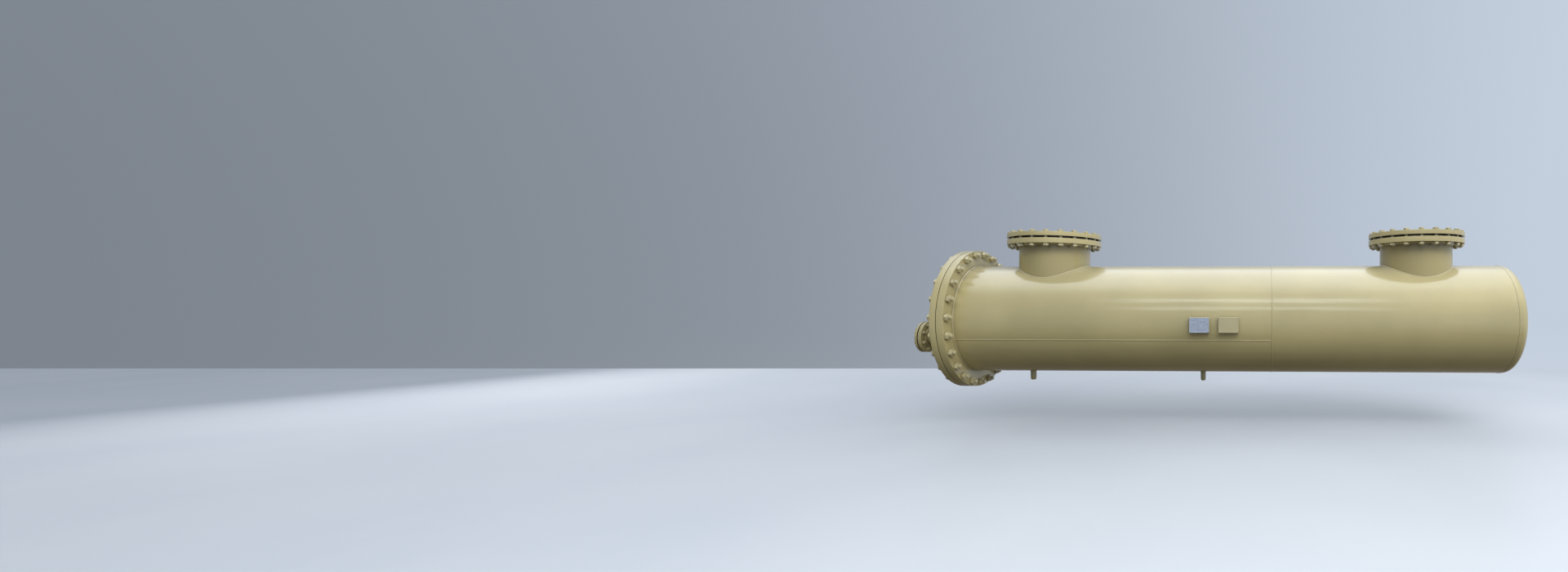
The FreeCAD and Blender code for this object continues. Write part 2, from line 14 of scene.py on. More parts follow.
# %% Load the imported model
import math
import bmesh
import bpy
import numpy as np
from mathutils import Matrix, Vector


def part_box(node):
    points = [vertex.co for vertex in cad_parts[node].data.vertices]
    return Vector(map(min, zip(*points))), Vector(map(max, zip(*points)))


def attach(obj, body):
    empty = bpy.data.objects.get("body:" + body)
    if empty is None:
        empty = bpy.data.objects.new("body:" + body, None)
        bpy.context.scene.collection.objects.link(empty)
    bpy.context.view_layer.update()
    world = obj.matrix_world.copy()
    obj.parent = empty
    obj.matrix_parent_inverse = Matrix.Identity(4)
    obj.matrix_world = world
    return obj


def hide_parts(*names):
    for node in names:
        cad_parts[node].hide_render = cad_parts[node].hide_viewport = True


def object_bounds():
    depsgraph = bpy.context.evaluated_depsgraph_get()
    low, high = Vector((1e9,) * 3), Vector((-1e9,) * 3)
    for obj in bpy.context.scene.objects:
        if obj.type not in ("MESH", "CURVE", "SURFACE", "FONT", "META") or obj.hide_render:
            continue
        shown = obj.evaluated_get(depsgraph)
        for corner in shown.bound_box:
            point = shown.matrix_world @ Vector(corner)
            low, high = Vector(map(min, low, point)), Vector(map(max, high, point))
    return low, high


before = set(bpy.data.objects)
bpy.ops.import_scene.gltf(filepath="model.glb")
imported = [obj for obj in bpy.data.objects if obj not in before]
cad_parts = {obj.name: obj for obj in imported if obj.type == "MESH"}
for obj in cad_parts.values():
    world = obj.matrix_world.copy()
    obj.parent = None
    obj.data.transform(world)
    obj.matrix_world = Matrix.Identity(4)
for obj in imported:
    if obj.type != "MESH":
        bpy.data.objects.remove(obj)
cad_low, cad_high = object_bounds()
print("packed nodes:", len(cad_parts), "box:", tuple(cad_low), tuple(cad_high))

# %% [markdown]
# ## Sizes
#
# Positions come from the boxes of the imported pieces, so nothing is measured twice. A box gives a
# low and a high corner, and half the difference of a round piece's box is its radius. A few sizes
# cannot be read from a box, such as how far a bolt stands out of its nut, and those are named here.

# %% Read the sizes
MM = 0.001


def low(node, axis):
    """The lowest X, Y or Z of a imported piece."""
    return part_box(node)[0]["xyz".index(axis)]


def high(node, axis):
    """The highest X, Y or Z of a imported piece."""
    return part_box(node)[1]["xyz".index(axis)]


def middle(node, axis):
    """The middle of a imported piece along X, Y or Z."""
    return (low(node, axis) + high(node, axis)) / 2


def radius(node, axis):
    """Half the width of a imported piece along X, Y or Z."""
    return (high(node, axis) - low(node, axis)) / 2


axis_level = middle("shell_flange", "z")
shell_radius = radius("shell_front_course", "z")
shell_wall = 10 * MM
shell_start = low("shell_front_course", "x")
middle_seam = high("shell_front_course", "x")
head_seam = high("shell_rear_course", "x")
print("shell radius", round(shell_radius, 4), "axis at", round(axis_level, 4))

# %% [markdown]
# ## Turning numbers into meshes
#
# Each surface is a grid of points: a function of two parameters, worked out as one numpy array.
# A grid may close on itself in either direction, as a tube or a ring does. Where a row of points
# falls on one spot, such as the middle of a disc, merging the doubles turns its quads into a fan.
# The same merge sews neighbouring grids together, so a piece made of several grids comes out
# closed, and Blender can then turn all its faces outwards.

# %% Grids
def sheet(points, close_rows=False, close_columns=False):
    """A grid of points (rows, columns, 3) as (points, quads), closed on itself where asked."""
    rows, columns = points.shape[:2]
    row = np.arange(rows if close_rows else rows - 1)
    column = np.arange(columns if close_columns else columns - 1)
    row, column = np.meshgrid(row, column, indexing="ij")
    next_row = (row + 1) % rows
    next_column = (column + 1) % columns
    quads = np.stack([row * columns + column, row * columns + next_column,
                      next_row * columns + next_column, next_row * columns + column], axis=-1)
    return points.reshape(-1, 3), quads.reshape(-1, 4)


def joined(sheets):
    """Several (points, quads) as one, each one's quads counted on from the one before."""
    counts = np.cumsum([0] + [len(points) for points, quads in sheets])
    points = np.concatenate([points for points, quads in sheets])
    quads = np.concatenate([quads + count for (_, quads), count in zip(sheets, counts)])
    return points, quads


print("a grid of 3 by 4 points has", len(sheet(np.zeros((3, 4, 3)))[1]), "quads")

# %% [markdown]
# ## One way to make every piece
#
# A piece is one mesh object with one finish. Making all of them in one function means that each is
# sewn, faces outwards, is shaded smooth between its sharp edges, moves with its body and hides the
# imported piece it takes the place of. The function also counts the edges that don't have two faces:
# a closed piece has none.

# %% Pieces
SEW_DISTANCE = 2e-6
SLIVER = 1e-7
made = {}


def piece(name, sheets, material, replaced=(), sharp=32):
    """Make one closed mesh object from its grids, sewn, facing outwards and shaded smooth."""
    points, quads = joined(sheets)
    mesh = bpy.data.meshes.new(name)
    mesh.from_pydata(points.tolist(), [], quads.tolist())
    work = bmesh.new()
    work.from_mesh(mesh)
    bmesh.ops.remove_doubles(work, verts=work.verts, dist=SEW_DISTANCE)
    bmesh.ops.dissolve_degenerate(work, edges=work.edges, dist=SLIVER)
    bmesh.ops.recalc_face_normals(work, faces=work.faces)
    open_edges = sum(1 for edge in work.edges if len(edge.link_faces) != 2)
    work.to_mesh(mesh)
    work.free()
    mesh.polygons.foreach_set("use_smooth", np.ones(len(mesh.polygons), dtype=bool))
    mesh.set_sharp_from_angle(angle=math.radians(sharp))
    mesh.materials.append(material)
    thing = bpy.data.objects.new(name, mesh)
    bpy.context.scene.collection.objects.link(thing)
    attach(thing, "root")
    if replaced:
        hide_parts(*replaced)
    made[name] = len(mesh.polygons)
    print(f"{name}: {len(mesh.polygons)} faces, {open_edges} open edges")


print("grids closer than", SEW_DISTANCE / MM, "mm are sewn together")

# %% [markdown]
# ## Round profiles
#
# Most of a vessel is turned, pressed or rolled, so most pieces are a profile carried round an
# axis. A profile is a list of (along, radius) pairs. Real edges are never perfectly sharp, and a
# thin bright line along an edge is what makes metal look solid, so each corner of a profile is
# rounded by a short arc before the profile is turned.

# %% Profiles and turning
FACINGS = {
    # How local (across, up, along) becomes room (x, y, z).
    "up": np.array([[1, 0, 0], [0, 1, 0], [0, 0, 1]], float),
    "down": np.array([[1, 0, 0], [0, 1, 0], [0, 0, -1]], float),
    "front": np.array([[0, 1, 0], [0, 0, 1], [-1, 0, 0]], float),
    "rear": np.array([[0, 1, 0], [0, 0, 1], [1, 0, 0]], float),
}


def placed(points, origin, facing):
    """Local points (across, up, along) in the room: origin + the facing's three directions."""
    return np.asarray(origin, float) + points @ FACINGS[facing]


def rounded(corners, size, steps=4):
    """A profile with its inner corners cut by arcs that start and end a size away from them.

    On a short side the arc starts nearer. Its points are its two ends blended through the
    corner: (1-t)^2 start + 2t(1-t) corner + t^2 end, which is close to a circle for a right
    angle.
    """
    corners = np.asarray(corners, float)
    profile = [corners[:1]]
    blend = np.linspace(0, 1, steps)[:, None]
    for before, corner, after in zip(corners[:-2], corners[1:-1], corners[2:]):
        to_before, to_after = np.linalg.norm(before - corner), np.linalg.norm(after - corner)
        reach = min(size, to_before / 2.1, to_after / 2.1)
        start = corner + reach * (before - corner) / to_before
        end = corner + reach * (after - corner) / to_after
        profile.append((1 - blend) ** 2 * start + 2 * blend * (1 - blend) * corner
                       + blend ** 2 * end)
    profile.append(corners[-1:])
    return np.concatenate(profile)


def turned(profile, steps, origin, facing, start=0.0, closed=False):
    """A profile of (along, radius) carried round the axis: (r cos a, r sin a, along)."""
    profile = np.asarray(profile, float)
    angle = start + 2 * np.pi * np.arange(steps) / steps
    along, around = profile[:, :1], profile[:, 1:]
    points = np.stack([around * np.cos(angle), around * np.sin(angle),
                       np.broadcast_to(along, (len(profile), steps))], axis=-1)
    return sheet(placed(points, origin, facing), close_rows=closed, close_columns=True)


def ring(low_end, high_end, inner, outer, size):
    """The closed profile of a ring, its four corners rounded."""
    corners = [(low_end, (inner + outer) / 2), (low_end, outer), (high_end, outer),
               (high_end, inner), (low_end, inner), (low_end, (inner + outer) / 2)]
    return rounded(corners, size)[:-1]


print("a ring's profile has", len(ring(0.0, 4 * MM, 20 * MM, 30 * MM, 1 * MM)), "points")

# %% [markdown]
# ## Drilled plates
#
# A flange is a thick disc with a ring of bolt holes. A boolean cut would work, but it leaves long
# thin triangles that a gloss coat shows. Instead the flat face is shared out among the bolts, one
# sector each. In a sector every point of the border is tied to the hole's rim by a straight ray
# towards the hole's centre, so the flat face is made of tidy quads. The same rays carry on down
# the hole through its chamfers and up to the border on the other face. The rim and the middle of
# the plate are turned profiles with the same number of steps, so the merge sews all of it shut.

# %% The drilled plate
ARC_STEPS = 8
SIDE_STEPS = 4


def drilled_face(count, turn, circle, hole_steps, inner, outer, top, bottom):
    """Both flat faces between two radii, with count holes of a stepped profile between them.

    hole_steps lists (radius, level) from the top face to the bottom face.
    """
    half = np.pi / count
    sweep = np.linspace(-half, half, ARC_STEPS + 1)
    radii = np.linspace(inner, outer, SIDE_STEPS + 1)
    inner_arc = inner * np.stack([np.cos(sweep), np.sin(sweep)], -1)
    outer_arc = outer * np.stack([np.cos(sweep), np.sin(sweep)], -1)[::-1]
    far_side = radii[:, None] * np.array([np.cos(half), np.sin(half)])
    near_side = radii[::-1, None] * np.array([np.cos(half), -np.sin(half)])
    border = np.concatenate([inner_arc[:-1], far_side[:-1], outer_arc[:-1], near_side[:-1]])
    ray = border - np.array([circle, 0.0])
    ray /= np.linalg.norm(ray, axis=1, keepdims=True)
    loops = [np.column_stack([border, np.full(len(border), top)])]
    for hole, level in hole_steps:
        rim = np.array([circle, 0.0]) + hole * ray
        loops.append(np.column_stack([rim, np.full(len(border), level)]))
    loops.append(np.column_stack([border, np.full(len(border), bottom)]))
    sector = np.stack(loops)
    angle = turn + 2 * np.pi * np.arange(count) / count
    cos, sin = np.cos(angle)[:, None, None], np.sin(angle)[:, None, None]
    across = sector[..., 0] * cos - sector[..., 1] * sin
    up = sector[..., 0] * sin + sector[..., 1] * cos
    level = np.broadcast_to(sector[..., 2], across.shape)
    return np.stack([across, up, level], -1)


def drilled_plate(origin, facing, count, turn, circle, hole_steps, inner, outer, top, bottom,
                  rim, middles):
    """A round plate with a ring of holes; rim and middles are profiles of (along, radius)."""
    sectors = drilled_face(count, turn, circle, hole_steps, inner, outer, top, bottom)
    sheets = [sheet(placed(sector, origin, facing), close_columns=True) for sector in sectors]
    start = turn - np.pi / count
    for profile in [rim] + middles:
        sheets.append(turned(profile, count * ARC_STEPS, origin, facing, start))
    return sheets


print("steps round a hole:", 2 * (ARC_STEPS + SIDE_STEPS), "and round a plate of 24:", 24 * ARC_STEPS)

# %% [markdown]
# ## Bolts
#
# A forged head or nut is a hexagon whose corners are turned off at 30 degrees, which leaves the
# curved edge on each flat that the eye knows. The formula does the same. Round the axis, the
# hexagon's radius is half its flats divided by the cosine of the angle from the middle of the
# flat. The cone drops by tan 30 degrees for each unit beyond the turned circle, so the height of
# the edge follows from the radius. The thread is a zigzag profile: crests at the bolt's radius
# and roots six tenths of a pitch further in.

# %% Hexagons and threads
HEX_STEPS = 36
TURNED_SHARE = 0.95  # the turned circle, as a share of half the flats
CORNER_SHARE = 0.985  # how much of the sharp corner is left after it is eased
THREAD_DEPTH = 0.6  # as a share of the pitch


def hexagon_radius(angle, flats):
    """Half the flats over the cosine of the angle from the flat's middle, corners eased."""
    sharp_corner = flats / 2 / math.cos(math.pi / 6)
    return np.minimum(flats / 2 / np.cos(angle % (np.pi / 3) - np.pi / 6), sharp_corner * CORNER_SHARE)


def hexagon_block(flats, low_end, high_end, inner, both_ends=True):
    """A hexagon with turned corners at its high end, or at both, as local points."""
    angle = 2 * np.pi * np.arange(HEX_STEPS) / HEX_STEPS
    outer = hexagon_radius(angle, flats)
    circle = np.full(HEX_STEPS, flats / 2 * TURNED_SHARE)
    drop = (outer - circle) * math.tan(math.pi / 6)
    low_drop = drop if both_ends else 0 * drop
    rows = [(low_end + 0 * drop, np.full(HEX_STEPS, inner)), (low_end + 0 * drop, circle),
            (low_end + low_drop, outer), (high_end - drop, outer),
            (high_end + 0 * drop, circle), (high_end + 0 * drop, np.full(HEX_STEPS, inner))]
    return np.stack([np.stack([around * np.cos(angle), around * np.sin(angle), level], -1)
                     for level, around in rows])


def thread(bolt, pitch, start, end):
    """A zigzag profile from start to end with a chamfered tip that closes on the axis."""
    turns = int((end - start - pitch * THREAD_DEPTH) / pitch * 2)
    along = start + pitch / 2 * np.arange(turns + 1)
    around = np.where(np.arange(turns + 1) % 2 == 0, bolt, bolt - THREAD_DEPTH * pitch)
    tip = [(end - pitch * 0.55, bolt * 0.97), (end - pitch * 0.1, bolt - 0.62 * pitch),
           (end, bolt * 0.72), (end, 0.0)]
    return np.concatenate([np.column_stack([along, around]), tip])


print("rows of a nut:", len(hexagon_block(24 * MM, 0.0, 14 * MM, 8 * MM)))
print("rows of a thread 20 mm long:", len(thread(8 * MM, 2 * MM, 0.0, 20 * MM)))

# %% [markdown]
# Every bolt of a joint could be one mesh copied round by instances. Here each is worked out on its
# own, because a fitter stops each head and each nut wherever it is tight, so no two stand turned
# alike. All bolts of a joint are joined into one piece. A head has a shallow dish in its top, as
# forging leaves.

# %% A ring of bolts
SHANK_STEPS = 24
DISH_DEPTH = 0.4 * MM
DISH_RIM, DISH_FLOOR = 0.8, 0.74  # shares of half the flats


def spun_profile(profile, steps, centre, start, origin, facing):
    """A small profile turned about a bolt's own axis, then put on the bolt circle."""
    points, quads = turned(profile, steps, (0, 0, 0), "up", start)
    return placed(points + centre, origin, facing), quads


def spun_block(block, turn, centre, origin, facing, closed):
    """A block of rows turned about a bolt's own axis, then put on the bolt circle."""
    cos, sin = np.cos(turn), np.sin(turn)
    spun = np.stack([block[..., 0] * cos - block[..., 1] * sin,
                     block[..., 0] * sin + block[..., 1] * cos, block[..., 2]], -1)
    return sheet(placed(spun + centre, origin, facing), close_rows=closed, close_columns=True)


def bolt_ring(size, turn, origin, facing, grip, spin):
    """Every bolt of a joint: its head above the grip, its nut and thread below it."""
    bolt, nut, half = size["bolt"], size["nut"], size["flats"] / 2
    head_top = grip + size["head"]
    head = hexagon_block(size["flats"], grip, head_top, half * DISH_RIM, both_ends=False)
    dish = np.array([(head_top, half * DISH_RIM), (head_top - DISH_DEPTH, half * DISH_FLOOR),
                     (head_top - DISH_DEPTH, 0.0)])
    base = np.array([(grip, half * DISH_RIM), (grip, 0.0)])
    nut_block = hexagon_block(size["flats"], -nut, 0.0, bolt)
    shank = np.array([(-nut, bolt), (grip, bolt), (grip, 0.0)])
    lower = thread(bolt, size["pitch"], nut, nut + size["end"]) * np.array([-1, 1])
    sheets = []
    for number in range(size["count"]):
        angle = turn + 2 * np.pi * number / size["count"]
        centre = size["circle"] * np.array([np.cos(angle), np.sin(angle), 0.0])
        twist = spin.uniform(0, 2 * np.pi, 2)
        sheets.append(spun_block(head, twist[0], centre, origin, facing, False))
        for profile in (dish, base):
            sheets.append(spun_profile(profile, HEX_STEPS, centre, twist[0], origin, facing))
        sheets.append(spun_block(nut_block, twist[1], centre, origin, facing, True))
        for profile in (shank, lower):
            sheets.append(spun_profile(profile, SHANK_STEPS, centre, 0.0, origin, facing))
    return sheets


print("steps round a head:", HEX_STEPS, "and round a shank:", SHANK_STEPS)

# %% [markdown]
# ## Weld beads
#
# A weld is a row of overlapping puddles. Each one froze in a curved ripple, and the bead wanders
# a little in width and height as the welder's hand did. The bead is a cross section carried along
# a path. At distance s along the path and u across it, from -1 to 1, its height is
# height * (1 - u^4), which is a dome with a flattened top, plus a small ripple that repeats with s
# and bends with u. The underside is sunk into the plate, so the section is closed.

# %% The weld bead
ACROSS = np.linspace(-1, 1, 9)
WANDER_PARTS = np.array([7, 13, 23, 31, 47, 61])  # waves of wandering in the whole path
WIDTH_WANDER = 0.10
HEIGHT_WANDER = 0.18
RIPPLE_HEIGHT = 0.13
RIPPLE_BEND = 1.9


def bead(path, outward, across, half_width, lift, crown, depth, pitch, seed, closed=True):
    """A rippled bead along a path; outward and across are unit directions at each point.

    lift raises it off the path, crown is its height above that, and depth sinks its underside.
    An open bead narrows to nothing at its two ends.
    """
    spin = np.random.default_rng(seed)
    step = np.linalg.norm(np.diff(path, axis=0), axis=1)
    s = np.concatenate([[0.0], np.cumsum(step)])
    waves = spin.uniform(0, 2 * np.pi, len(WANDER_PARTS))
    lengths = s[-1] / WANDER_PARTS
    wander = sum(np.sin(2 * np.pi * s / length + wave) for length, wave in zip(lengths, waves))
    wander = wander / len(WANDER_PARTS)
    half = (np.broadcast_to(half_width, s.shape) * (1 + WIDTH_WANDER * wander))[:, None]
    turn = 2 * np.pi * np.round(s[-1] / pitch) * (s / s[-1])[:, None] - RIPPLE_BEND * ACROSS ** 2
    ripple = RIPPLE_HEIGHT * (0.5 + 0.5 * np.cos(turn)) * (1 - ACROSS ** 4)
    rise = crown * (1 + HEIGHT_WANDER * wander[:, None]) * (1 - ACROSS ** 4) + crown * ripple
    lift = np.broadcast_to(lift, s.shape)[:, None]
    sideways = np.concatenate([half * ACROSS, half, -half], axis=1)
    upwards = np.concatenate([lift + rise, lift - depth + 0 * half, lift - depth + 0 * half], axis=1)
    if not closed:
        ends = np.minimum(1, np.minimum(s, s[-1] - s) / (1.5 * half[:, 0]))[:, None] ** 0.5
        sideways, upwards = sideways * ends, (upwards + depth) * ends - depth
    points = (path[:, None] + across[:, None] * sideways[..., None]
              + outward[:, None] * upwards[..., None])
    if closed:
        points = points[:-1]
    return sheet(points, close_rows=closed, close_columns=True)


print("points across a bead:", len(ACROSS))

# %% [markdown]
# A fillet fills the corner between two plates. It is the same bead, turned: its outward direction
# is halfway between the two plates and its width runs from one plate to the other, so only the
# leg, the reach along each plate, has to be given. Most paths are circles, and a circle needs four
# points to each ripple to show it.

# %% Fillets and circles
FILLET_SINK = 0.7  # how deep the underside lies, as a share of the leg


def fillet(path, first, second, leg, crown, pitch, seed):
    """A closed bead in a corner; first and second point along its two plates, away from it."""
    both = first + second
    apart = first - second
    reach = np.linalg.norm(both, axis=1)
    width = np.linalg.norm(apart, axis=1)
    return bead(path, both / reach[:, None], apart / width[:, None], leg * width / 2,
                leg * reach / 2, crown, leg * FILLET_SINK, pitch, seed)


def circle_path(origin, facing, radius_of_circle, pitch):
    """A closed circle, its radial and its axial directions, four points to a ripple."""
    steps = int(2 * np.pi * radius_of_circle / pitch * 4)
    angle = 2 * np.pi * np.arange(steps + 1) / steps
    radial = np.stack([np.cos(angle), np.sin(angle), 0 * angle], -1)
    axial = np.broadcast_to([0.0, 0.0, 1.0], radial.shape)
    return (placed(radial * radius_of_circle, origin, facing),
            radial @ FACINGS[facing], axial @ FACINGS[facing])


print("points round a small pipe:", len(circle_path((0, 0, 0), "up", 57 * MM, 4 * MM)[0]))

# %% [markdown]
# ## Finishes
#
# One beige gloss enamel covers the whole vessel. A flat colour would look like plastic, so the
# material is built in layers. Wide soft noise shifts the colour by up to a tenth, because paint
# never cures quite evenly. Fine noise as bump gives the orange peel that spraying leaves, and a
# stretched noise along the shell gives the long low waves of rolled plate. Dust dulls the faces
# that look upwards, and crevices are painted darker as painted shade where the ambient occlusion node
# finds them.

# %% Node helpers
def new_material(name):
    """An empty node material with a Principled shader; returns (material, nodes, links, shader)."""
    material = bpy.data.materials.new(name)
    material.use_nodes = True
    tree = material.node_tree
    shader = tree.nodes["Principled BSDF"]
    return material, tree.nodes, tree.links, shader


def noise(nodes, links, coordinates, scale, detail=2.0, stretch=(1, 1, 1), rough=0.5):
    """A noise texture over object coordinates, its pattern stretched along the axes."""
    mapping = nodes.new("ShaderNodeMapping")
    mapping.inputs["Scale"].default_value = stretch
    links.new(coordinates.outputs["Object"], mapping.inputs["Vector"])
    texture = nodes.new("ShaderNodeTexNoise")
    texture.inputs["Scale"].default_value = scale
    texture.inputs["Detail"].default_value = detail
    texture.inputs["Roughness"].default_value = rough
    links.new(mapping.outputs["Vector"], texture.inputs["Vector"])
    return texture.outputs["Fac"]


def spread(nodes, links, source, from_low, from_high, to_low, to_high, curve="LINEAR"):
    """Map one range of numbers to another, clamped at both ends."""
    remap = nodes.new("ShaderNodeMapRange")
    remap.interpolation_type = curve
    for socket, number in zip(("From Min", "From Max", "To Min", "To Max"),
                              (from_low, from_high, to_low, to_high)):
        remap.inputs[socket].default_value = number
    links.new(source, remap.inputs["Value"])
    return remap.outputs["Result"]


def mixed(nodes, links, amount, first, second):
    """Mix two colours; each may be a colour or a socket, and the amount a number or a socket."""
    mix = nodes.new("ShaderNodeMix")
    mix.data_type = "RGBA"
    for socket, given in (("Factor", amount), ("A", first), ("B", second)):
        target = next(one for one in mix.inputs if one.name == socket
                      and one.type == ("VALUE" if socket == "Factor" else "RGBA"))
        if isinstance(given, bpy.types.NodeSocket):
            links.new(given, target)
        else:
            target.default_value = given
    return next(one for one in mix.outputs if one.type == "RGBA")


def worked_out(nodes, links, operation, *terms):
    """A Math node on its terms, each a number or a socket."""
    node = nodes.new("ShaderNodeMath")
    node.operation = operation
    for socket, term in zip(node.inputs, terms):
        if isinstance(term, bpy.types.NodeSocket):
            links.new(term, socket)
        else:
            socket.default_value = term
    return node.outputs[0]


def bumped(nodes, links, source, strength, distance, onto=None):
    """A bump from a height, added on top of another bump if one is given."""
    bump = nodes.new("ShaderNodeBump")
    bump.inputs["Strength"].default_value = strength
    bump.inputs["Distance"].default_value = distance
    links.new(source, bump.inputs["Height"])
    if onto:
        links.new(onto, bump.inputs["Normal"])
    return bump.outputs["Normal"]


print("materials so far:", len(bpy.data.materials))

# %% [markdown]
# The paint's colour comes first: the uneven enamel, then its small darker specks, then dust on the
# faces that look up, then painted shade in the crevices. Each layer is mixed over the one before by an
# amount that a pattern or a direction gives, so a layer can be left out or changed by itself.

# %% The colour of the paint
SPECK = (0.30, 0.26, 0.16, 1.0)
DUST = (0.46, 0.45, 0.41, 1.0)
# Painted shade: this dark brown is mixed into crevices, gaps between plates and round the feet of
# bolts.
CREVICE_SHADE = (0.055, 0.042, 0.018, 1.0)
CREVICE_REACH = 0.045


def paint_colour(nodes, links, place, colour, crevices):
    """The enamel's colour with specks, dust on top and painted shade in the crevices."""
    deep = tuple(0.90 * part for part in colour) + (1.0,)
    pale = tuple(1.06 * part for part in colour) + (1.0,)
    cloud = spread(nodes, links, noise(nodes, links, place, 1.7, 4.0), 0.35, 0.65, 0.0, 1.0)
    base = mixed(nodes, links, cloud, deep, pale)
    specks = spread(nodes, links, noise(nodes, links, place, 38.0, 3.0), 0.58, 0.80, 0.0, 0.10)
    base = mixed(nodes, links, specks, base, SPECK)
    split = nodes.new("ShaderNodeSeparateXYZ")
    links.new(nodes.new("ShaderNodeNewGeometry").outputs["Normal"], split.inputs["Vector"])
    upward = spread(nodes, links, split.outputs["Z"], 0.55, 1.0, 0.0, 0.16)
    base = mixed(nodes, links, upward, base, DUST)
    # Painted shade: the ambient occlusion node darkens crevices towards that dark brown.
    crevice = nodes.new("ShaderNodeAmbientOcclusion")
    crevice.samples = 6
    crevice.inputs["Distance"].default_value = CREVICE_REACH
    shade = spread(nodes, links, crevice.outputs["AO"], 0.15, 0.85, crevices, 0.0)
    return mixed(nodes, links, shade, base, CREVICE_SHADE)


# How far out of a corner the painted shade reaches.
print("dirt reaches", CREVICE_REACH, "m out of a corner")

# %% [markdown]
# Over the colour lies the gloss. A Principled shader has a coat of its own, which is what enamel
# is: a satin colour under a clear glossy skin. The orange peel and the waves of the rolled plate
# bend both. The flanges and the nozzles look duller than the shell, so their coat is weaker. The
# nozzles and drains also take a darker beige, which is painted shade.

# %% Gloss paint
COAT_ROUGHNESS = 0.12
COAT_IOR = 1.65
PEEL_HEIGHT = 0.0004
WAVE_HEIGHT = 0.004


def gloss_paint(name, colour, waves=0.0, peel=0.16, crevices=0.5, coat=1.0):
    """Beige enamel: layered colour, a clear coat, orange peel and the waves of rolled plate."""
    material, nodes, links, shader = new_material(name)
    place = nodes.new("ShaderNodeTexCoord")
    links.new(paint_colour(nodes, links, place, colour, crevices), shader.inputs["Base Color"])
    sheen = noise(nodes, links, place, 9.0, 5.0, rough=0.6)
    links.new(spread(nodes, links, sheen, 0.3, 0.75, 0.34, 0.50), shader.inputs["Roughness"])
    shader.inputs["Specular IOR Level"].default_value = 0.3
    shader.inputs["Coat Weight"].default_value = coat
    shader.inputs["Coat Roughness"].default_value = COAT_ROUGHNESS
    shader.inputs["Coat IOR"].default_value = COAT_IOR
    relief = bumped(nodes, links, noise(nodes, links, place, 260.0), peel, PEEL_HEIGHT)
    if waves:
        rolled = noise(nodes, links, place, 13.0, 3.0, stretch=(0.09, 1.0, 1.0))
        relief = bumped(nodes, links, rolled, waves, WAVE_HEIGHT, relief)
    links.new(relief, shader.inputs["Normal"])
    links.new(relief, shader.inputs["Coat Normal"])
    return material


BEIGE = (0.405, 0.345, 0.165)
shell_paint = gloss_paint("shell_paint", BEIGE, waves=0.40)
# The flanges get the strongest painted shade, so the gaps between their plates look dark.
flange_paint = gloss_paint("flange_paint", BEIGE, peel=0.12, crevices=0.95, coat=0.6)
# The nozzles and drains take a darker copy of the beige: painted shade.
nozzle_paint = gloss_paint("nozzle_paint", (0.325, 0.272, 0.12), waves=0.05, crevices=0.7, coat=0.7)
bolt_paint = gloss_paint("bolt_paint", (0.43, 0.375, 0.20), peel=0.22)
weld_paint = gloss_paint("weld_paint", (0.385, 0.33, 0.165), peel=0.30, crevices=0.2)
holder_paint = gloss_paint("holder_paint", (0.40, 0.35, 0.19), peel=0.12)
print("paints:", [material.name for material in bpy.data.materials if "paint" in material.name])

# %% [markdown]
# The gaskets are compressed fibre sheet: nearly black, matt, with a fine fibrous grain. The name
# plate is etched aluminium, brushed along its length, with a bluish tint in its colour that is a
# painted reflection of the sky, and ruled into empty fields because a plate needs some order to
# look like one but says nothing here.

# %% Gasket and plate finishes
def fibre_sheet():
    """Dark matt sheet with short grey fibres in its surface."""
    material, nodes, links, shader = new_material("gasket_sheet")
    place = nodes.new("ShaderNodeTexCoord")
    fibres = noise(nodes, links, place, 420.0, 4.0, rough=0.7)
    tone = spread(nodes, links, fibres, 0.35, 0.75, 0.0, 1.0)
    base = mixed(nodes, links, tone, (0.012, 0.011, 0.010, 1.0), (0.05, 0.047, 0.042, 1.0))
    links.new(base, shader.inputs["Base Color"])
    shader.inputs["Roughness"].default_value = 0.85
    links.new(bumped(nodes, links, fibres, 0.4, 0.0003), shader.inputs["Normal"])
    return material


def etched_aluminium():
    """Satin metal with lengthwise brushing and soft stains, tinted blue as a painted reflection of the
    sky.
    """
    material, nodes, links, shader = new_material("etched_aluminium")
    place = nodes.new("ShaderNodeTexCoord")
    brushing = noise(nodes, links, place, 900.0, 2.0, stretch=(0.03, 1.0, 1.0))
    stains = noise(nodes, links, place, 60.0, 4.0, rough=0.65)
    tone = spread(nodes, links, stains, 0.35, 0.70, 0.0, 1.0)
    # Painted reflection: both colours are tinted blue for the sky; the stains mix between them.
    base = mixed(nodes, links, tone, (0.42, 0.48, 0.58, 1.0), (0.66, 0.71, 0.79, 1.0))
    links.new(base, shader.inputs["Base Color"])
    shader.inputs["Metallic"].default_value = 0.75
    links.new(spread(nodes, links, stains, 0.3, 0.7, 0.30, 0.48), shader.inputs["Roughness"])
    links.new(bumped(nodes, links, brushing, 0.15, 0.0002), shader.inputs["Normal"])
    return material


def dark_enamel():
    """The dull dark fill of the plate's ruled lines."""
    material, nodes, links, shader = new_material("plate_enamel")
    place = nodes.new("ShaderNodeTexCoord")
    worn = noise(nodes, links, place, 300.0, 3.0)
    tone = spread(nodes, links, worn, 0.4, 0.7, 0.0, 1.0)
    base = mixed(nodes, links, tone, (0.05, 0.06, 0.09, 1.0), (0.20, 0.23, 0.29, 1.0))
    links.new(base, shader.inputs["Base Color"])
    shader.inputs["Roughness"].default_value = 0.55
    return material


gasket_sheet = fibre_sheet()
plate_metal = etched_aluminium()
plate_enamel = dark_enamel()
print("other finishes:", gasket_sheet.name, plate_metal.name, plate_enamel.name)

# %% [markdown]
# ## The shell
#
# Two plates are rolled into courses and butt welded. Rolled plate is never a perfect cylinder: it
# has long shallow waves, and it flattens a little beside its lengthwise seam. Both are tenths of
# a millimetre, but gloss paint turns them into the streaks that run along a real vessel. The
# radius at distance x and angle a is the true radius less a few slow sines in x and a, less a
# narrow dip at the seam.

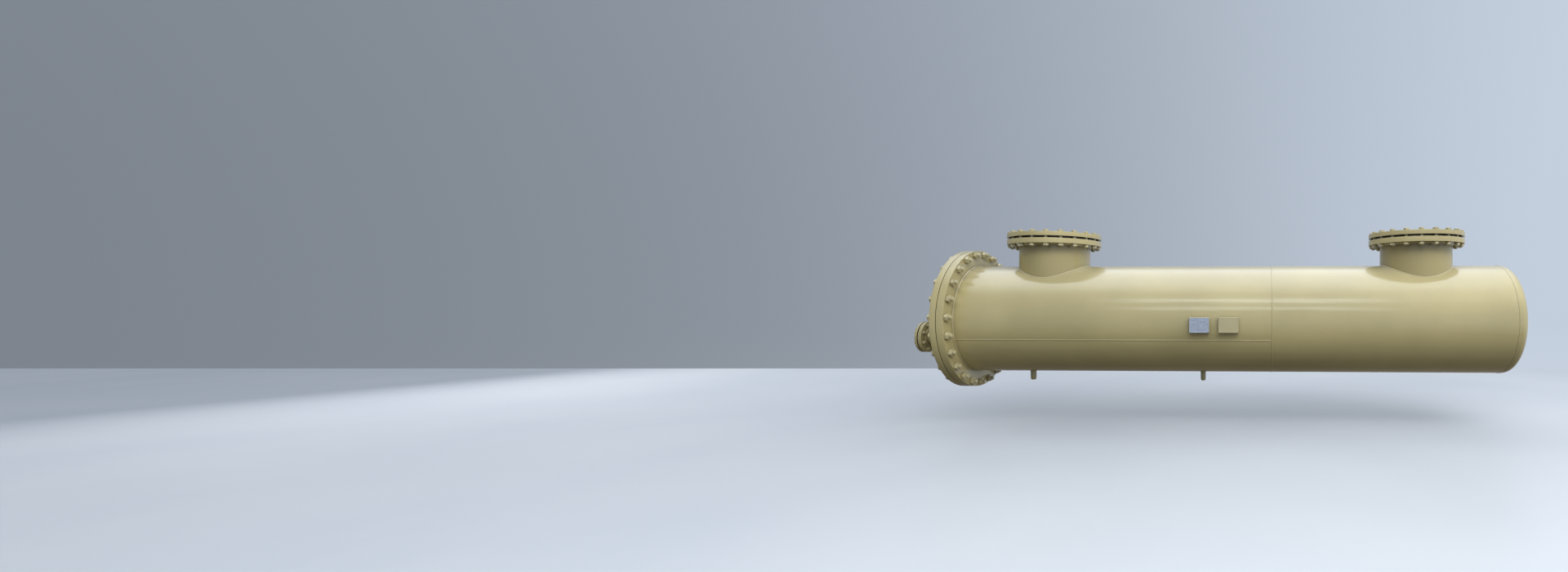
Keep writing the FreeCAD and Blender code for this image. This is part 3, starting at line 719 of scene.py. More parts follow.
# %% Shell courses
SHELL_TURNS = 288
SHELL_ROWS = 96
WAVE = 0.35 * MM
SEAM_DIP = 0.8 * MM
SEAM_DIP_ANGLE = 0.07
SHELL_WAVES = ((2, 0.9), (3, 1.7), (5, 1.1), (7, 2.6), (11, 0.6))  # (round the shell, along it)


def shell_wall_points(start, end, seam_angle, seed):
    """Outer and inner wall of a course as one closed grid, rows along the shell."""
    spin = np.random.default_rng(seed)
    x = np.linspace(start, end, SHELL_ROWS)[:, None]
    a = (2 * np.pi * np.arange(SHELL_TURNS) / SHELL_TURNS)[None, :]
    dip = 0.0
    for around, along in SHELL_WAVES:
        shift, phase = spin.uniform(0, 2 * np.pi, 2)
        dip = dip + np.sin(around * a + shift + 0.5 * np.sin(along * 2 * x + phase)) / around ** 0.7
    away = (a - seam_angle + np.pi) % (2 * np.pi) - np.pi
    flat = SEAM_DIP * np.exp(-(away / SEAM_DIP_ANGLE) ** 2)
    outer = shell_radius - WAVE * (1 + dip / 3) - flat
    inner = np.broadcast_to(shell_radius - shell_wall, outer.shape)
    rows = [np.stack([x + 0 * a, r * np.cos(a), axis_level + r * np.sin(a)], -1)
            for r in (outer, inner)]
    return np.concatenate([rows[0], rows[1][::-1]])


FRONT_SEAM_ANGLE = math.radians(180 + 20)
REAR_SEAM_ANGLE = math.radians(-20)
courses = (("front", shell_start, middle_seam, FRONT_SEAM_ANGLE),
           ("rear", low("shell_rear_course", "x"), head_seam, REAR_SEAM_ANGLE))
for seed, (side, start, end, seam_angle) in enumerate(courses):
    wall = shell_wall_points(start, end, seam_angle, seed)
    piece(f"shell_{side}_skin", [sheet(wall, close_rows=True, close_columns=True)],
          shell_paint, (f"shell_{side}_course",))

# %% [markdown]
# ## The dished head
#
# A torispherical head is pressed from one disc: a shallow crown, a tight knuckle and a short
# straight skirt. Its profile is a line and two arcs that touch smoothly. Only the crown's radius,
# the knuckle's radius and the skirt are needed, and the rest follows from where the arcs touch.

# %% Rear head
HEAD_STEPS = 256
KNUCKLE_STEPS, CROWN_STEPS = 16, 40
CROWN = 880 * MM
KNUCKLE = 47 * MM
SKIRT = 15 * MM
head_start = low("rear_head", "x")


def head_profile(extra):
    """(along, radius) of the head's inside, moved outwards by extra, from rim to apex."""
    bore = shell_radius - shell_wall
    knuckle_height = bore - KNUCKLE
    crown_centre = SKIRT - math.sqrt((CROWN - KNUCKLE) ** 2 - knuckle_height ** 2)
    touch = math.asin(knuckle_height / (CROWN - KNUCKLE))
    bend = np.linspace(math.pi / 2, touch, KNUCKLE_STEPS)
    dome = np.linspace(touch, 0, CROWN_STEPS)[1:]
    knuckle = np.column_stack([SKIRT + (KNUCKLE + extra) * np.cos(bend),
                               knuckle_height + (KNUCKLE + extra) * np.sin(bend)])
    crown = np.column_stack([crown_centre + (CROWN + extra) * np.cos(dome),
                             (CROWN + extra) * np.sin(dome)])
    return np.concatenate([[(0.0, bore + extra)], knuckle, crown])


outside = head_profile(shell_wall)
inside = head_profile(0.0)
outside[:, 1] -= WAVE * np.clip(1 - outside[:, 0] / SKIRT, 0, 1)
rim_edge = np.array([inside[0], outside[0]])
head_origin = (head_start, 0, axis_level)
piece("rear_head_dish",
      [turned(profile, HEAD_STEPS, head_origin, "rear")
       for profile in (outside, inside, rim_edge)],
      shell_paint, ("rear_head",))

# %% [markdown]
# ## Seams of the shell
#
# The round seams and the lengthwise seams stand a couple of millimetres proud. They were ground
# only lightly before painting, so their ripples still show. Under gloss paint a bead seen from
# the side is a bright line above a dark one, because its upper flank looks at the sky and its
# lower flank at the floor.

# %% Seam beads
SEAM_WIDTH = 9 * MM
SEAM_CROWN = 1.7 * MM
ROUND_DEPTH = 3 * MM
LONG_DEPTH = 2 * MM
RIPPLE = 7 * MM
BEAD_SHARP = 60
for name, place_x, seed in (("middle_seam_weld", middle_seam, 11),
                            ("head_seam_weld", head_seam, 12)):
    path, radial, axial = circle_path((place_x, 0, axis_level), "rear", shell_radius - WAVE, RIPPLE)
    piece(name, [bead(path, radial, axial, SEAM_WIDTH / 2, 0.0, SEAM_CROWN, ROUND_DEPTH, RIPPLE,
                      seed)], weld_paint, sharp=BEAD_SHARP)

# %% [markdown]
# The lengthwise seam lies in the flattened strip, so its bead is seated a little deeper than the
# wall's mean surface. It stops short of the round seams and of the flange, where other beads run.

# %% Lengthwise beads
SEAT_DROP = 0.6 * MM
AFTER_FLANGE = 2 * MM
BEFORE_SEAM = 4 * MM
AFTER_SEAM = 5 * MM


def lengthwise_path(start, end, angle):
    """A straight line along the shell at an angle round it, with outward and sideways."""
    x = np.linspace(start, end, int((end - start) / RIPPLE * 4))
    outward = np.array([0.0, math.cos(angle), math.sin(angle)])
    sideways = np.array([0.0, -math.sin(angle), math.cos(angle)])
    seated = shell_radius - WAVE - SEAT_DROP
    path = np.stack([x, 0 * x + seated * outward[1], axis_level + 0 * x + seated * outward[2]], -1)
    return path, np.broadcast_to(outward, path.shape), np.broadcast_to(sideways, path.shape)


flange_back = high("shell_flange", "x")
for name, start, end, angle, seed in (
        ("front_long_weld", flange_back + AFTER_FLANGE, middle_seam - BEFORE_SEAM,
         FRONT_SEAM_ANGLE, 13),
        ("rear_long_weld", middle_seam + AFTER_SEAM, head_seam - BEFORE_SEAM,
         REAR_SEAM_ANGLE, 14)):
    path, outward, sideways = lengthwise_path(start, end, angle)
    piece(name, [bead(path, outward, sideways, SEAM_WIDTH / 2, 0.0, SEAM_CROWN, LONG_DEPTH, RIPPLE,
                      seed, closed=False)], weld_paint, sharp=BEAD_SHARP)

# %% [markdown]
# ## Shell flange, gasket and flat cover
#
# Two heavy plates of the same diameter clamp a thin gasket. Seen from the side the gasket is the
# thin dark line between them. Both plates are turned on a lathe, which leaves a small rounded edge
# on their rims, and each hole has a chamfer at both ends.

# %% Sizes and edges of the front joint
GIRTH = {"count": 24, "circle": 475 * MM, "hole": 16.5 * MM, "bolt": 15 * MM, "pitch": 3.5 * MM,
         "flats": 46 * MM, "head": 19 * MM, "nut": 24 * MM, "end": 19 * MM}
GIRTH_TURN = math.radians(180 - 3)
EDGE = 2.5 * MM
CHAMFER = 1.5 * MM
FLANGE_MARGIN = 8 * MM  # how far the flange's plain middle runs each side of the shell's surface


def through_hole(hole, top, bottom, seat=0.0, seat_depth=0.0):
    """The stepped profile of a bolt hole, with a machined seat round its top if one is given."""
    steps = []
    if seat:
        steps += [(seat, top), (seat, top - seat_depth)]
    top = top - seat_depth
    return steps + [(hole + CHAMFER, top), (hole, top - CHAMFER), (hole, bottom + CHAMFER),
                    (hole + CHAMFER, bottom)]


def edge_profile(top, bottom, flat, outer, size=EDGE):
    """From the top face's border round a plate's rim to the bottom face's border."""
    return rounded([(top, flat), (top, outer), (bottom, outer), (bottom, flat)], size, 5)


girth_radius = radius("shell_flange", "z")
girth_origin = (flange_back, 0, axis_level)
flange_thick = flange_back - low("shell_flange", "x")
cover_bottom = flange_back - high("front_cover", "x")
cover_top = flange_back - low("front_cover", "x")
print("from the back of the flange: gasket at", round(flange_thick, 4), "cover from",
      round(cover_bottom, 4), "to", round(cover_top, 4))

# %% [markdown]
# All three plates are built from the back of the shell flange forwards, so each is given by where
# it starts and ends along one axis. The flange is a ring round the shell, and its middle profile
# closes it at the bore. The cover is a full disc, so its middle profiles run in to the axis. The
# round weld behind the flange is a small fillet.

# %% Front plates
GASKET_STEPS = 192
GIRTH_GASKET_EDGE = 0.4 * MM
GIRTH_LEG = 5 * MM
GIRTH_WELD_CROWN = 0.7 * MM
flange_inner = shell_radius + FLANGE_MARGIN
flange_bore = shell_radius - FLANGE_MARGIN
flat_outer = girth_radius - EDGE
bore_profile = np.array([(flange_thick, flange_inner), (flange_thick, flange_bore),
                         (0.0, flange_bore), (0.0, flange_inner)])
cover_middles = [np.array([(level, flange_inner), (level, flange_inner / 2), (level, 0.0)])
                 for level in (cover_top, cover_bottom)]


def girth_plate(name, node, bottom, top, middles):
    """A drilled plate of this joint, from one level to another above the flange's back."""
    plate = drilled_plate(girth_origin, "front", GIRTH["count"], GIRTH_TURN, GIRTH["circle"],
                          through_hole(GIRTH["hole"], top, bottom), flange_inner, flat_outer,
                          top, bottom, edge_profile(top, bottom, flat_outer, girth_radius), middles)
    piece(name, plate, flange_paint, (node,))


girth_plate("shell_flange_ring", "shell_flange", 0.0, flange_thick, [bore_profile])
gasket_ring = ring(flange_thick, cover_bottom, shell_radius - shell_wall,
                   radius("cover_gasket", "z"), GIRTH_GASKET_EDGE)
piece("cover_gasket_ring",
      [turned(gasket_ring, GASKET_STEPS, girth_origin, "front", closed=True)],
      gasket_sheet, ("cover_gasket",))
girth_plate("front_cover_plate", "front_cover", cover_bottom, cover_top, cover_middles)

path, radial, axial = circle_path(girth_origin, "rear", shell_radius - WAVE, RIPPLE)
piece("shell_flange_weld",
      [fillet(path, radial, axial, GIRTH_LEG, GIRTH_WELD_CROWN, RIPPLE, 15)],
      weld_paint, sharp=BEAD_SHARP)

# %% [markdown]
# ## Cover bolts
#
# Twenty-four heavy bolts clamp the cover. Their heads stand on the cover and their nuts behind the
# flange, where the thread's end sticks out past the nut. One source of random numbers turns the
# bolts of this joint and of all the nozzles, in the order in which they are made.

# %% Cover bolts
BOLT_SHARP = 40
spin = np.random.default_rng(5)
piece("cover_bolt_ring", bolt_ring(GIRTH, GIRTH_TURN, girth_origin, "front", cover_top, spin),
      bolt_paint, ("cover_bolts",), sharp=BOLT_SHARP)

# %% [markdown]
# ## Nozzles
#
# A nozzle is a pipe, a flange with a raised face, a gasket on that face, and a blind flange that
# closes it. Because the faces are raised, the plates stand apart outside the gasket, and the
# bolts show in the dark gap. One function builds both sizes: the large pair on the shell points
# up, and the small pair on the cover points forwards.

# %% One nozzle's plates
GAS = {"count": 20, "circle": 310 * MM, "hole": 13 * MM, "face": 285 * MM, "rise": 5.5 * MM,
       "seat": 23 * MM, "bolt": 12 * MM, "pitch": 3 * MM, "flats": 36 * MM, "head": 16 * MM,
       "nut": 19 * MM, "end": 5 * MM, "edge": 1.8 * MM, "wall": 9 * MM}
WATER = {"count": 8, "circle": 90 * MM, "hole": 9 * MM, "face": 79 * MM, "rise": 3 * MM,
         "seat": 16 * MM, "bolt": 8 * MM, "pitch": 2 * MM, "flats": 24 * MM, "head": 10 * MM,
         "nut": 14 * MM, "end": 5 * MM, "edge": 1.4 * MM, "wall": 6.3 * MM}
SEAT_DEPTH = 1 * MM
SEAT_CLEAR = 1.2 * MM  # from a seat to the plain middle of the plate
FACE_EDGE = 0.8 * MM
BORE_INSET = 4 * MM  # from a pipe's outside to the bore of its flange


def nozzle_flange(name, origin, facing, size, turn, inner, outer, plate_radius, flange, pipe):
    """The drilled flange with its raised face, from its back forwards."""
    face, top = size["face"], flange + size["rise"]
    bore = pipe - BORE_INSET
    middle_profile = rounded([(flange, inner), (flange, face), (top, face), (top, bore),
                              (0.0, bore), (0.0, inner)], FACE_EDGE, 3)
    piece(name + "_flange_plate",
          drilled_plate(origin, facing, size["count"], turn, size["circle"],
                        through_hole(size["hole"], flange, 0.0), inner, outer, flange, 0.0,
                        edge_profile(flange, 0.0, outer, plate_radius, size["edge"]),
                        [middle_profile]),
          flange_paint, (name + "_flange",))


def nozzle_blind(name, origin, facing, size, turn, inner, outer, plate_radius, base, top):
    """The drilled blind with a raised face below and a machined seat round each hole above."""
    face, low_face = size["face"], base - size["rise"]
    under = rounded([(base, inner), (base, face), (low_face, face), (low_face, 0.0)], FACE_EDGE, 3)
    over = np.array([(top, inner), (top, inner / 2), (top, 0.0)])
    piece(name + "_blind_plate",
          drilled_plate(origin, facing, size["count"], turn, size["circle"],
                        through_hole(size["hole"], top, base, size["seat"], SEAT_DEPTH),
                        inner, outer, top, base,
                        edge_profile(top, base, outer, plate_radius, size["edge"]), [over, under]),
          flange_paint, (name + "_blind",))


print("bolts of a gas and of a water nozzle:", GAS["count"], WATER["count"])

# %% [markdown]
# The parts are stacked along the nozzle from the back of its flange: flange, raised face, gasket,
# raised face, blind. The heights are sums, so nothing can be left apart or run into its neighbour.

# %% A nozzle's stack
NOZZLE_STEPS = 96
EDGE_SHARE = 0.6  # how much of the edge's rounding lies on the flat face
GASKET_INSET = 1 * MM
GASKET_EDGE = 0.3 * MM


def nozzle_plates(name, origin, facing, size, plate_radius, flange, gap, blind, pipe):
    """Flange, gasket, blind and bolts, built along the nozzle from the flange's back."""
    turn = math.pi / size["count"]
    inner = size["circle"] - size["seat"] - SEAT_CLEAR
    outer = plate_radius - size["edge"] * EDGE_SHARE
    base = flange + gap
    top = base + blind
    nozzle_flange(name, origin, facing, size, turn, inner, outer, plate_radius, flange, pipe)
    packing = ring(flange + size["rise"], base - size["rise"], pipe,
                   size["face"] - GASKET_INSET, GASKET_EDGE)
    piece(name + "_gasket_ring", [turned(packing, NOZZLE_STEPS, origin, facing, closed=True)],
          gasket_sheet, (name + "_gasket",))
    nozzle_blind(name, origin, facing, size, turn, inner, outer, plate_radius, base, top)
    piece(name + "_bolt_ring", bolt_ring(size, turn, origin, facing, top - SEAT_DEPTH, spin),
          bolt_paint, (name + "_bolts",), sharp=BOLT_SHARP)


print("steps round a nozzle's gasket:", NOZZLE_STEPS)

# %% [markdown]
# The large pipe meets the shell in a saddle curve. At angle a round the pipe, the curve's height
# above the shell's axis is the root of the shell's radius squared less the sideways distance
# squared. The pipe ends on that curve and a fillet weld follows it. The weld's two legs lie along
# the pipe and along the shell, so their directions come from cross products with the curve's own
# direction.

# %% The saddle
SADDLE_STEPS = 160
PIPE_ROWS = 12
FOOT_SINK = 3 * MM
WELD_CROWN = 0.8 * MM


def saddle(pipe_radius, steps, sink=0.0):
    """Points round a pipe on the shell's surface, relative to the shell's axis."""
    angle = 2 * np.pi * np.arange(steps + 1) / steps
    across = pipe_radius * np.sin(angle)
    height = np.sqrt((shell_radius - WAVE - sink) ** 2 - across ** 2)
    return angle, np.stack([pipe_radius * np.cos(angle), across, height], -1)


def upright_pipe(place_x, pipe_radius, wall, top):
    """A pipe from its saddle cut up to a level, with its inner wall, as closed grids."""
    rows = []
    for side_radius, sink in ((pipe_radius, FOOT_SINK), (pipe_radius - wall, shell_wall)):
        foot = saddle(side_radius, SADDLE_STEPS, sink)[1]
        foot = foot[:-1] + np.array([place_x, 0, axis_level])
        head = foot.copy()
        head[:, 2] = top
        share = np.linspace(0, 1, PIPE_ROWS)[:, None, None]
        rows.append(foot * (1 - share) + head * share)
    wall_points = np.concatenate([rows[0], rows[1][::-1]])
    return sheet(wall_points, close_rows=True, close_columns=True)


def saddle_weld(place_x, pipe_radius, leg, seed):
    """The fillet along the saddle curve, from the pipe's side to the shell's side."""
    steps = int(2 * np.pi * pipe_radius / RIPPLE * 4)
    angle, path = saddle(pipe_radius, steps)
    along = np.roll(path[:-1], -1, axis=0) - np.roll(path[:-1], 1, axis=0)
    along = np.concatenate([along, along[:1]])
    along /= np.linalg.norm(along, axis=1, keepdims=True)
    from_pipe = np.stack([np.cos(angle), np.sin(angle), 0 * angle], -1)
    from_shell = path * np.array([0, 1, 1]) / shell_radius
    up_pipe = np.cross(from_pipe, along)
    out_shell = np.cross(along, from_shell)
    up_pipe *= np.sign(up_pipe[:, 2:])
    out_shell *= np.sign((out_shell * from_pipe).sum(1, keepdims=True))
    path = path + np.array([place_x, 0, axis_level])
    return fillet(path, up_pipe, out_shell, leg, WELD_CROWN, RIPPLE, seed)


print("points round the saddle of a pipe:", SADDLE_STEPS)

# %% [markdown]
# The two large nozzles differ only in where they stand on the shell. Each is a pipe, the stack of
# plates on top of it, the saddle weld at its foot and the round weld under its flange.

# %% Gas nozzles
SADDLE_LEG = 5 * MM
NECK_LEG = 8 * MM
NECK_CROWN = 1 * MM
for seed, side in enumerate(("inlet", "outlet")):
    name = "gas_" + side
    place_x = middle(name + "_pipe", "x")
    pipe_radius = radius(name + "_pipe", "x")
    back = low(name + "_flange", "z")
    origin = (place_x, 0, back)
    flange = high(name + "_flange", "z") - back - GAS["rise"]
    gap = 2 * GAS["rise"] + high(name + "_gasket", "z") - low(name + "_gasket", "z")
    blind = high(name + "_blind", "z") - back - flange - gap
    piece(name + "_neck", [upright_pipe(place_x, pipe_radius, GAS["wall"], back + flange / 2)],
          nozzle_paint, (name + "_pipe",))
    nozzle_plates(name, origin, "up", GAS, radius(name + "_flange", "y"), flange, gap, blind,
                  pipe_radius)
    piece(name + "_saddle_weld", [saddle_weld(place_x, pipe_radius, SADDLE_LEG, 20 + seed)],
          weld_paint, sharp=BEAD_SHARP)
    path, radial, axial = circle_path(origin, "down", pipe_radius, RIPPLE)
    piece(name + "_neck_weld",
          [fillet(path, radial, axial, NECK_LEG, NECK_CROWN, RIPPLE, 30 + seed)],
          weld_paint, sharp=BEAD_SHARP)

# %% [markdown]
# ## Water nozzles
#
# The two small nozzles stand on the flat cover, one below the shell's axis on the near side and
# one above it on the far side. A flat cover gives the pipe's foot a plain circle, so both welds
# are round, and the smaller the bead, the closer its ripples. The pipe runs into the cover, so that
# no gap can show under the weld.

# %% Water nozzles
WATER_RIPPLE = 4 * MM
PIPE_SINK = 10 * MM
COLLAR_LEG = 6 * MM
cover_face = low("front_cover", "x")
for seed, side in enumerate(("inlet", "outlet")):
    name = "water_" + side
    place_y, place_z = middle(name + "_pipe", "y"), middle(name + "_pipe", "z")
    pipe_radius = radius(name + "_pipe", "z")
    back = high(name + "_flange", "x")
    origin = (back, place_y, place_z)
    flange = back - low(name + "_flange", "x") - WATER["rise"]
    gap = 2 * WATER["rise"] + high(name + "_gasket", "x") - low(name + "_gasket", "x")
    blind = back - low(name + "_blind", "x") - flange - gap
    foot_level = back - cover_face - PIPE_SINK
    neck = ring(foot_level, flange / 2, pipe_radius - WATER["wall"], pipe_radius, 0.5 * MM)
    piece(name + "_neck", [turned(neck, NOZZLE_STEPS, origin, "front", closed=True)],
          nozzle_paint, (name + "_pipe",))
    nozzle_plates(name, origin, "front", WATER, radius(name + "_flange", "z"), flange, gap, blind,
                  pipe_radius)
    foot, radial, axial = circle_path((cover_face, place_y, place_z), "front", pipe_radius,
                                      WATER_RIPPLE)
    collar, _, backward = circle_path(origin, "rear", pipe_radius, WATER_RIPPLE)
    piece(name + "_neck_welds",
          [fillet(foot, radial, axial, NECK_LEG, NECK_CROWN, WATER_RIPPLE, 40 + seed),
           fillet(collar, radial, backward, COLLAR_LEG, WELD_CROWN, WATER_RIPPLE, 50 + seed)],
          weld_paint, sharp=BEAD_SHARP)

# %% [markdown]
# ## Drains
#
# Two short pipes hang under the shell to empty it. Each has a tapered end, a plug screwed into it
# and a small fillet weld at the shell. The plug's hexagon socket is only seen from below, and it
# is a hexagon radius again, this time as a hole.

# %% The socket plug
PLUG_CLEAR = 0.2 * MM
PLUG_DEEP = 14 * MM
SOCKET_FLATS = 12 * MM


def socket_plug(radius_of_plug, deep, socket_flats):
    """A round plug with a hexagon socket in its outer end, as a closed grid of local points."""
    angle = 2 * np.pi * np.arange(HEX_STEPS) / HEX_STEPS
    round_rim = np.full(HEX_STEPS, radius_of_plug)
    hexagon = hexagon_radius(angle, socket_flats)
    zero = np.zeros(HEX_STEPS)
    rows = [(-deep, zero), (-deep, round_rim), (-0.8 * MM, round_rim), (0.0, round_rim - 0.8 * MM),
            (0.0, hexagon + 0.5 * MM), (-0.6 * MM, hexagon), (-deep * 0.6, hexagon),
            (-deep * 0.7, zero)]
    return np.stack([np.stack([around * np.cos(angle), around * np.sin(angle),
                               np.full(HEX_STEPS, level)], -1) for level, around in rows])


print("rows of a plug:", len(socket_plug(13 * MM, PLUG_DEEP, SOCKET_FLATS)))

# %% [markdown]
# Each drain is one turned outline, from the shell down to its tapered end and back up its bore. The
# bore would be open at the top, inside the shell, so a lid closes it there.

# %% Drains
DRAIN_STEPS = 64
DRAIN_BORE = 13 * MM
DRAIN_LEG = 6 * MM
TAPER = 4 * MM
TAPER_LENGTH = 16 * MM
for seed, side in enumerate(("front", "middle")):
    name = side + "_drain"
    place_x = middle(name, "x")
    outer = radius(name, "x")
    bottom, top = low(name, "z"), high(name, "z")
    drop = top - bottom
    origin = (place_x, 0, top)
    outline = rounded([(0.0, outer), (drop - TAPER_LENGTH, outer), (drop, outer - TAPER),
                       (drop, DRAIN_BORE), (0.0, DRAIN_BORE)], 1.2 * MM, 4)
    lid = np.array([(0.0, outer), (0.0, DRAIN_BORE)])
    piece(name + "_pipe", [turned(profile, DRAIN_STEPS, origin, "down") for profile in (outline, lid)],
          nozzle_paint, (name,))
    plug = socket_plug(DRAIN_BORE - PLUG_CLEAR, PLUG_DEEP, SOCKET_FLATS)
    piece(name + "_socket_plug",
          [sheet(placed(plug, (place_x, 0, bottom), "down"), close_columns=True)],
          bolt_paint, (name + "_plug",))
    level = axis_level - shell_radius + WAVE
    path, radial, axial = circle_path((place_x, 0, level), "down", outer, WATER_RIPPLE)
    piece(name + "_weld",
          [fillet(path, radial, axial, DRAIN_LEG, WELD_CROWN, WATER_RIPPLE, 60 + seed)],
          weld_paint, sharp=BEAD_SHARP)

# %% [markdown]
# ## Name plate holders
#
# Each holder is a tray folded from sheet: a flat face that stands off the shell on four sides
# with rounded corners, cut to the shell's curve behind. Its outline is a rounded rectangle, which
# is carried from the shell forwards, round the small bend of the fold and in to the middle of the
# face. The rear holder was painted over with its blank plate; the front one carries a bare plate.

# %% The tray
HOLDER_CORNER = 6 * MM
HOLDER_FOLD = 2.5 * MM
HOLDER_SINK = 4 * MM


def rounded_rectangle(width, height, corner, steps=9):
    """Points round a rectangle with round corners, as (across, up), evenly split per corner."""
    quarter = np.linspace(0, np.pi / 2, steps)
    corner = max(corner, 1e-5)
    points = []
    for number, (side, rise) in enumerate(((1, 1), (-1, 1), (-1, -1), (1, -1))):
        angle = quarter + number * np.pi / 2
        points.append(np.column_stack([side * (width / 2 - corner) + corner * np.cos(angle),
                                       rise * (height / 2 - corner) + corner * np.sin(angle)]))
    return np.concatenate(points)


def holder_rows(place_x, place_z, width, height, corner, face, fold):
    """Rows of a tray from the shell's surface to the middle of its face."""
    rows = []
    outline = rounded_rectangle(width, height, corner)
    height_on_shell = place_z + outline[:, 1] - axis_level
    on_shell = -np.sqrt((shell_radius - HOLDER_SINK) ** 2 - height_on_shell ** 2)
    rows.append(np.column_stack([outline[:, 0], on_shell, outline[:, 1]]))
    for turn in np.linspace(0, np.pi / 2, 6):
        inset = fold * (1 - np.cos(turn))
        bent = rounded_rectangle(width - 2 * inset, height - 2 * inset, corner - inset * 0.7)
        depth = face + fold * (1 - np.sin(turn))
        rows.append(np.column_stack([bent[:, 0], np.full(len(bent), depth), bent[:, 1]]))
    for share in (0.98, 0.66, 0.0):
        rows.append(rows[6] * np.array([share, 0, share]) + np.array([0, face, 0]))
    closing = 0 * rows[0] + np.array([0, -shell_radius * 0.97, 0])
    rows.insert(0, closing)
    return np.stack(rows) + np.array([place_x, 0, place_z])


print("points round a tray:", len(rounded_rectangle(120 * MM, 90 * MM, HOLDER_CORNER)))

# %% [markdown]
# A stamped plate is a rim, a flat raised border and a field a little lower than the border. Each
# step of its section is the same rounded rectangle, set in by some millimetres, at a depth of its
# own, so the list of steps is the section.

# %% The plate
PLATE_CORNER = 3 * MM
FIELD_DROP = 0.6 * MM
PLATE_BACK = 0.02 * MM  # how far the plate's back stands off the tray


def plate_rows(place_x, place_z, width, height, corner, back, front):
    """A thin plate with rounded corners, a flat raised border and a lower field."""
    steps = ((0.0, back), (0.0, front + FIELD_DROP), (0.2, front + 0.1 * MM), (0.8, front),
             (3.6, front), (4.0, front + 0.1 * MM), (4.5, front + 0.55 * MM),
             (5.2, front + FIELD_DROP), (7.0, front + FIELD_DROP))
    outline = 0 * rounded_rectangle(width, height, corner)
    rows = [np.column_stack([outline[:, 0], np.full(len(outline), back), outline[:, 1]])]
    for inset, depth in steps:
        outline = rounded_rectangle(width - 2 * inset * MM, height - 2 * inset * MM,
                                    corner - 0.35 * inset * MM)
        rows.append(np.column_stack([outline[:, 0], np.full(len(outline), depth), outline[:, 1]]))
    rows.append(rows[-1] * np.array([0, 1, 0]))
    return np.stack(rows) + np.array([place_x, 0, place_z])


print("the field lies", FIELD_DROP / MM, "mm under the border")

# %% [markdown]
# Four domed rivets hold a plate. The bare plate's field is ruled into empty boxes by thin raised
# bars, filled dark. Both are far too thin to matter as shapes, but each throws a small highlight
# that a flat drawing would not.

# %% Rivets and rules
RIVET_STEPS = 20
RIVET_ROOT = 0.2 * MM
BAR_PROUD = 0.12 * MM


def rivet(place_x, place_z, front, size):
    """A domed rivet head: a quarter circle turned about the plate's normal."""
    turn = np.linspace(0, np.pi / 2, 6)
    profile = np.column_stack([size * 0.6 * np.sin(turn), size * np.cos(turn)])
    profile = np.concatenate([[(-RIVET_ROOT, size)], profile])
    angle = 2 * np.pi * np.arange(RIVET_STEPS) / RIVET_STEPS
    points = np.stack([place_x + profile[:, 1:] * np.cos(angle),
                       np.broadcast_to(front - profile[:, :1], (len(profile), RIVET_STEPS)),
                       place_z + profile[:, 1:] * np.sin(angle)], -1)
    back = 0 * points[:1] + np.array([place_x, front + RIVET_ROOT, place_z])
    return sheet(np.concatenate([back, points]), close_columns=True)


def bar(x_range, z_range, front):
    """A hair-thin raised bar on the plate's face, with a crowned front."""
    rows = []
    middle_x, middle_z = np.mean(x_range), np.mean(z_range)
    half_x = (x_range[1] - x_range[0]) / 2
    half_z = (z_range[1] - z_range[0]) / 2
    for depth, inset in ((front + RIVET_ROOT, 1.0), (front + RIVET_ROOT, 0.0), (front, 0.0),
                         (front - BAR_PROUD, 0.35), (front - BAR_PROUD, 1.0)):
        shrink = min(half_x, half_z) * min(inset, 0.35)
        grow = 0.0 if inset == 1.0 else 1.0
        xs = np.array([-1, 1, 1, -1]) * (half_x - shrink) * grow + middle_x
        zs = np.array([-1, -1, 1, 1]) * (half_z - shrink) * grow + middle_z
        rows.append(np.column_stack([xs, np.full(4, depth), zs]))
    return sheet(np.stack(rows), close_columns=True)


print("rows of a bar:", len(bar((0, 1), (0, 1), 0.0)[0]) // 4)

# %% [markdown]
# The rear holder and its blank plate were painted in one go, so they share a finish. The front
# plate was riveted on bare after the paint, so it has the metal's.

# %% Holders and plates
RIVET_INSET = 9 * MM
RIVET_SIZE = 2.2 * MM
RULE_INSET = 12 * MM
RULE_TOP = 24 * MM
RULE_WIDTH = 0.7 * MM
for side, finish, slot in (("front", plate_metal, "plate_aluminium"),
                           ("rear", holder_paint, "holder_paint")):
    holder, plate = side + "_plate_holder", side + "_name_plate"
    place_x, place_z = middle(holder, "x"), middle(holder, "z")
    width, height = 2 * radius(holder, "x"), 2 * radius(holder, "z")
    face, front = low(holder, "y"), low(plate, "y")
    rows = holder_rows(place_x, place_z, width, height, HOLDER_CORNER, face, HOLDER_FOLD)
    piece(side + "_holder_tray", [sheet(rows, close_columns=True)], holder_paint,
          (holder,))
    width, height = 2 * radius(plate, "x"), 2 * radius(plate, "z")
    rows = plate_rows(place_x, place_z, width, height, PLATE_CORNER, face - PLATE_BACK, front)
    piece(side + "_blank_plate", [sheet(rows, close_columns=True)], finish, (plate,))
    out_x, out_z = width / 2 - RIVET_INSET, height / 2 - RIVET_INSET
    field = front + FIELD_DROP
    rivets = [rivet(place_x + sx * out_x, place_z + sz * out_z, field, RIVET_SIZE)
              for sx in (-1, 1) for sz in (-1, 1)]
    piece(side + "_plate_rivets", rivets, finish)

# %% [markdown]
# Only the front plate is ruled: six level rules and three upright ones make its empty boxes. The
# left column is the narrower one, where a plate would have its labels.

